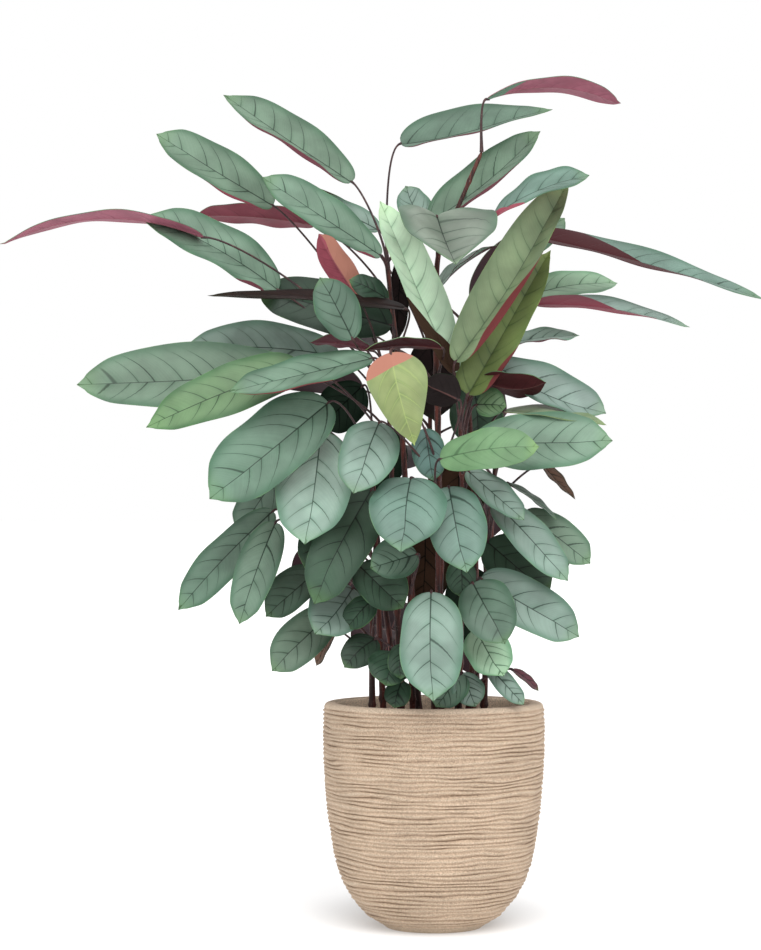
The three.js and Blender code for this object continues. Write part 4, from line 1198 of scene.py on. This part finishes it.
def crumb_tree():
    """Scatters crumbs of earth and bark over the top of the soil."""
    inputs = [("Geometry", "Geometry", None), ("Crumbs", "Float", 30000.0), ("Smallest", "Float", 0.001),
              ("Largest", "Float", 0.004), ("Seed", "Int", CRUMB_SEED), ("Earth", "Material", None)]
    work, given, out = new_group("Soil Crumbs", "GeometryNodeTree", inputs, [("Geometry", "Geometry")])
    height = work.parts(work.node("GeometryNodeInputPosition").outputs[0])[2]
    spread = work.node("GeometryNodeDistributePointsOnFaces", {
        "Mesh": given["Geometry"], "Density": given["Crumbs"], "Seed": given["Seed"],
        "Selection": work.calc("GREATER_THAN", height, (SOIL_TOP - CRUMB_DEPTH) * MM)})
    size = work.node("FunctionNodeRandomValue", data_type="FLOAT_VECTOR", inputs={
        0: given["Smallest"], 1: given["Largest"], "Seed": given["Seed"]})
    turn = work.node("FunctionNodeRandomValue", data_type="FLOAT_VECTOR", inputs={
        1: (2 * math.pi,) * 3, "Seed": work.calc("ADD", given["Seed"], 11)})
    turning = work.node("FunctionNodeEulerToRotation", {0: turn.outputs[0]})
    crumb = work.node("GeometryNodeMeshIcoSphere", {"Radius": 1.0, "Subdivisions": 1})
    lay = work.node("GeometryNodeInstanceOnPoints", {
        "Points": spread.outputs["Points"], "Instance": crumb.outputs["Mesh"],
        "Rotation": turning.outputs[0], "Scale": size.outputs[0]})
    whole = joined(work, given["Geometry"], lay.outputs[0])
    work.feed(out["Geometry"], painted(work, whole, given["Earth"]))
    return work.tree


def grown(mesh, tree, values):
    """Plain mesh that a node tree makes from a mesh, with the tree's named inputs set."""
    carrier = bpy.data.objects.new(mesh.name, mesh)
    bpy.context.collection.objects.link(carrier)
    modifier = carrier.modifiers.new(tree.name, "NODES")
    modifier.node_group = tree
    for item in tree.interface.items_tree:
        if item.in_out == "INPUT" and item.name in values:
            modifier[item.identifier] = values[item.name]
    graph = bpy.context.evaluated_depsgraph_get()
    made = bpy.data.meshes.new_from_object(
        carrier.evaluated_get(graph), preserve_all_data_layers=True, depsgraph=graph)
    carrier.modifiers.remove(modifier)
    bpy.data.objects.remove(carrier)
    bpy.data.meshes.remove(mesh)
    return made


def place_piece(name, mesh, node):
    """Puts a finished mesh in the scene in place of its CAD node."""
    if not len(mesh.polygons):
        raise RuntimeError(f"{name} has no faces")
    mesh.name = name
    piece = bpy.data.objects.new(name, mesh)
    bpy.context.collection.objects.link(piece)
    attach(piece, "root")
    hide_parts(node)
    return piece


def shared(name, make):
    """The node group of this name, made on first use."""
    return bpy.data.node_groups.get(name) or make()


def colour(code, name, description):
    return bpy.props.FloatVectorProperty(name=name, description=description, subtype="COLOR", size=3,
                                         min=0, max=1, default=linear(code))


def length(value, name, description):
    return bpy.props.FloatProperty(name=name, description=description, default=value, min=0,
                                   unit="LENGTH", subtype="DISTANCE", precision=4)


def amount(value, name, description, **limits):
    return bpy.props.FloatProperty(name=name, description=description, default=value, min=0, **limits)


class PlanterSettings(bpy.types.PropertyGroup):
    rib_pitch: length(0.0068, "Rib pitch", "Height from one rib to the next")
    rib_relief: length(0.0030, "Rib relief", "How far a rib stands out")
    hand_sway: length(0.0012, "Hand sway", "How far the wall strays from a true round")
    grain_size: length(0.0017, "Grain size", "Size of the sandy grain")
    crest_colour: colour("b39d87", "Rib colour", "Colour of the ribs")
    # Painted highlight along the crowns of the ribs.
    crown_highlight_colour: colour("c8b8a3", "Crown colour", "Paler colour along the crowns of the ribs")
    # Painted light: a lighter colour for the inside of the rim, which the leaves shade.
    inner_painted_light_colour: colour("f0dcc2", "Inner colour", "Unweathered clay inside the rim")
    # Painted shade down in the grooves; also the colour of the dark specks in the grain.
    groove_shade_and_speck_colour: colour("664f3a", "Groove colour", "Colour down in the grooves")


class SoilSettings(bpy.types.PropertyGroup):
    unevenness: length(0.004, "Unevenness", "Rise and fall of the soil")
    crumb_size: length(0.004, "Crumb size", "Largest crumb of earth or bark")
    crumbs: amount(30000, "Crumbs", "Crumbs on a square metre")
    dark_colour: colour("2a1d16", "Dark earth", "Colour of the moist earth")
    light_colour: colour("5d4534", "Light earth", "Colour of bark and dry crumbs")


class StemSettings(bpy.types.PropertyGroup):
    sides: bpy.props.IntProperty(name="Sides", description="Corners round a cane or stalk", default=12, min=5)
    cane_dark: colour("23110f", "Dark cane", "Darker streaks of the canes")
    cane_bright: colour("6b352b", "Bright cane", "Redder streaks of the canes")
    stalk_dark: colour("2e1f22", "Dark stalk", "Darker streaks of the leaf stalks")
    stalk_bright: colour("523532", "Bright stalk", "Lighter streaks of the leaf stalks")
    fleck_colour: colour("a89a90", "Flecks", "Pale flecks on canes and stalks")


class LeafSettings(bpy.types.PropertyGroup):
    vein_width: length(0.0015, "Vein width", "Width of a side vein where it leaves the midrib")
    midrib_width: length(0.0017, "Midrib width", "Half width of the midrib at the foot of the blade")
    vein_shade: colour("4c6258", "Vein shade", "What a vein does to the colour of the blade")
    edge_colour: colour("6f9f56", "Edge colour", "Fresh green of the margin and the tip")
    young_edge_colour: colour("93b04e", "Young edge colour", "Lime of the margin and tip of a young blade")
    roughness: amount(0.47, "Roughness", "Dullness of the upper face", max=1, subtype="FACTOR")


class StageSettings(bpy.types.PropertyGroup):
    sky: amount(1.0, "Sky", "Strength of the even studio light")
    key: amount(1.9, "Key", "Strength of the soft sun")
    key_spread: bpy.props.FloatProperty(name="Key spread", description="Angle that the soft sun fills",
                                        default=math.radians(50), min=0, subtype="ANGLE", unit="ROTATION")
    glow: amount(0.42, "Glow", "Glow of the floor")
    lens: amount(100, "Lens", "Focal length in millimetres")


def aim_at(piece, place, target):
    """Puts a light or camera at a place, turned to a target."""
    piece.location = place
    piece.rotation_euler = (Vector(target) - piece.location).to_track_quat("-Z", "Y").to_euler()


class PLANT_OT_stage(bpy.types.Operator):
    """Lay the pale floor and set the studio light and the camera"""

    bl_idname = "plant.stage"
    bl_label = "Stage"

    def execute(self, context):
        scene = context.scene
        settings = scene.plant_stage
        world = bpy.data.worlds.new("studio_light")
        world.use_nodes = True
        sky = world.node_tree.nodes["Background"]
        sky.inputs["Color"].default_value = (*WHITE, 1.0)
        sky.inputs["Strength"].default_value = settings.sky
        scene.world = world
        scene.view_settings.view_transform = "Standard"
        scene.view_settings.look = "None"
        mesh = bpy.data.meshes.new("floor")
        ends = (-STAGE_REACH, STAGE_REACH)
        mesh.from_pydata([(x, y, 0) for y in ends for x in ends], [], [(0, 1, 3, 2)])
        mesh.materials.append(floor_material_painted_shadow(settings.glow))
        floor = bpy.data.objects.new("floor", mesh)
        context.collection.objects.link(floor)
        floor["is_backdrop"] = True
        light = bpy.data.lights.new("key_light", "SUN")
        light.energy = settings.key
        light.angle = settings.key_spread
        sun = bpy.data.objects.new("key_light", light)
        context.collection.objects.link(sun)
        aim_at(sun, KEY_PLACE, KEY_AIM)
        lens = bpy.data.cameras.new("viewpoint")
        lens.lens = settings.lens
        lens.sensor_width = 36
        lens.sensor_fit = "AUTO"
        lens.clip_end = 3 * STAGE_REACH
        camera = bpy.data.objects.new("viewpoint", lens)
        context.collection.objects.link(camera)
        aim_at(camera, (0, -VIEW_DISTANCE * MM, VIEW_HEIGHT * MM), CAMERA_AIM)
        scene.camera = camera
        return {"FINISHED"}


class PLANT_OT_planter(bpy.types.Operator):
    """Build the ribbed planter"""

    bl_idname = "plant.planter"
    bl_label = "Planter"

    def execute(self, context):
        settings = context.scene.plant_planter
        mesh = planter_mesh(settings)
        mesh.materials.append(clay_material(settings, shared("Sandy Grain", sand_group)))
        place_piece("planter_ribbed", mesh, "planter")
        return {"FINISHED"}


class PLANT_OT_soil(bpy.types.Operator):
    """Build the soil with its crumbs"""

    bl_idname = "plant.soil"
    bl_label = "Soil"

    def execute(self, context):
        settings = context.scene.plant_soil
        earth = earth_material(settings, shared("Sandy Grain", sand_group))
        tree = shared("Soil Crumbs", crumb_tree)
        mesh = grown(soil_mesh(settings), tree, {
            "Crumbs": settings.crumbs, "Smallest": settings.crumb_size * CRUMB_SPREAD,
            "Largest": settings.crumb_size, "Seed": CRUMB_SEED, "Earth": earth})
        place_piece("soil_crumbly", mesh, "soil")
        return {"FINISHED"}


class PLANT_OT_stems(bpy.types.Operator):
    """Grow every cane with its leaf stalks and blades"""

    bl_idname = "plant.stems"
    bl_label = "Leafy stems"

    def execute(self, context):
        stem = context.scene.plant_stem
        leaf = context.scene.plant_leaf
        veins = shared("Leaf Veins", vein_group)
        faces = [upper_face_material(leaf, veins), under_face_material(leaf, veins)]
        bark = streaky_skin("cane_bark", stem.cane_dark, stem.cane_bright, stem.fleck_colour, 0.12, 0.62)
        skin = streaky_skin("stalk_skin", stem.stalk_dark, stem.stalk_bright, stem.fleck_colour, 0.3, 0.55)
        tree = shared("Grown Stem", stem_tree)
        blades = [Blade(row, order) for order, row in enumerate(BLADES)]
        for cane in CANES:
            own = [blade for blade in blades if blade.cane == cane[0]]
            if not own:
                raise RuntimeError(f"cane {cane[0]} has no leaves")
            lines = stem_mesh(cane, own)
            for face in faces:
                lines.materials.append(face)
            mesh = grown(lines, tree, {"Sides": stem.sides, "Cane Bark": bark, "Stalk Skin": skin})
            place_piece(f"stem_{cane[0]}_grown", mesh, f"leafy_stem_{cane[0]}")
        return {"FINISHED"}


class VIEW3D_PT_prayer_plant(bpy.types.Panel):
    bl_label = "Prayer Plant"
    bl_space_type = "VIEW_3D"
    bl_region_type = "UI"
    bl_category = "Plant"

    def draw(self, context):
        for operator, group in (("plant.stage", "plant_stage"), ("plant.planter", "plant_planter"),
                                ("plant.soil", "plant_soil"), (None, "plant_leaf"),
                                ("plant.stems", "plant_stem")):
            box = self.layout.box()
            settings = getattr(context.scene, group)
            for name in settings.__annotations__:
                box.prop(settings, name)
            if operator:
                box.operator(operator)


CLASSES = (PlanterSettings, SoilSettings, StemSettings, LeafSettings, StageSettings, PLANT_OT_stage,
           PLANT_OT_planter, PLANT_OT_soil, PLANT_OT_stems, VIEW3D_PT_prayer_plant)
SETTINGS = {"plant_planter": PlanterSettings, "plant_soil": SoilSettings, "plant_stem": StemSettings,
            "plant_leaf": LeafSettings, "plant_stage": StageSettings}


def register():
    for made in CLASSES:
        bpy.utils.register_class(made)
    for name, kind in SETTINGS.items():
        setattr(bpy.types.Scene, name, bpy.props.PointerProperty(type=kind))


def unregister():
    for name in SETTINGS:
        delattr(bpy.types.Scene, name)
    for made in reversed(CLASSES):
        bpy.utils.unregister_class(made)


def plain(box):
    return [[float(value) for value in corner] for corner in box]


def main():
    register()
    bpy.ops.plant.stage()
    bpy.ops.plant.planter()
    bpy.ops.plant.soil()
    bpy.ops.plant.stems()
    {"cad": plain(CAD_BOX), "visual": plain(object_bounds())}


if __name__ == "__main__":
    main()
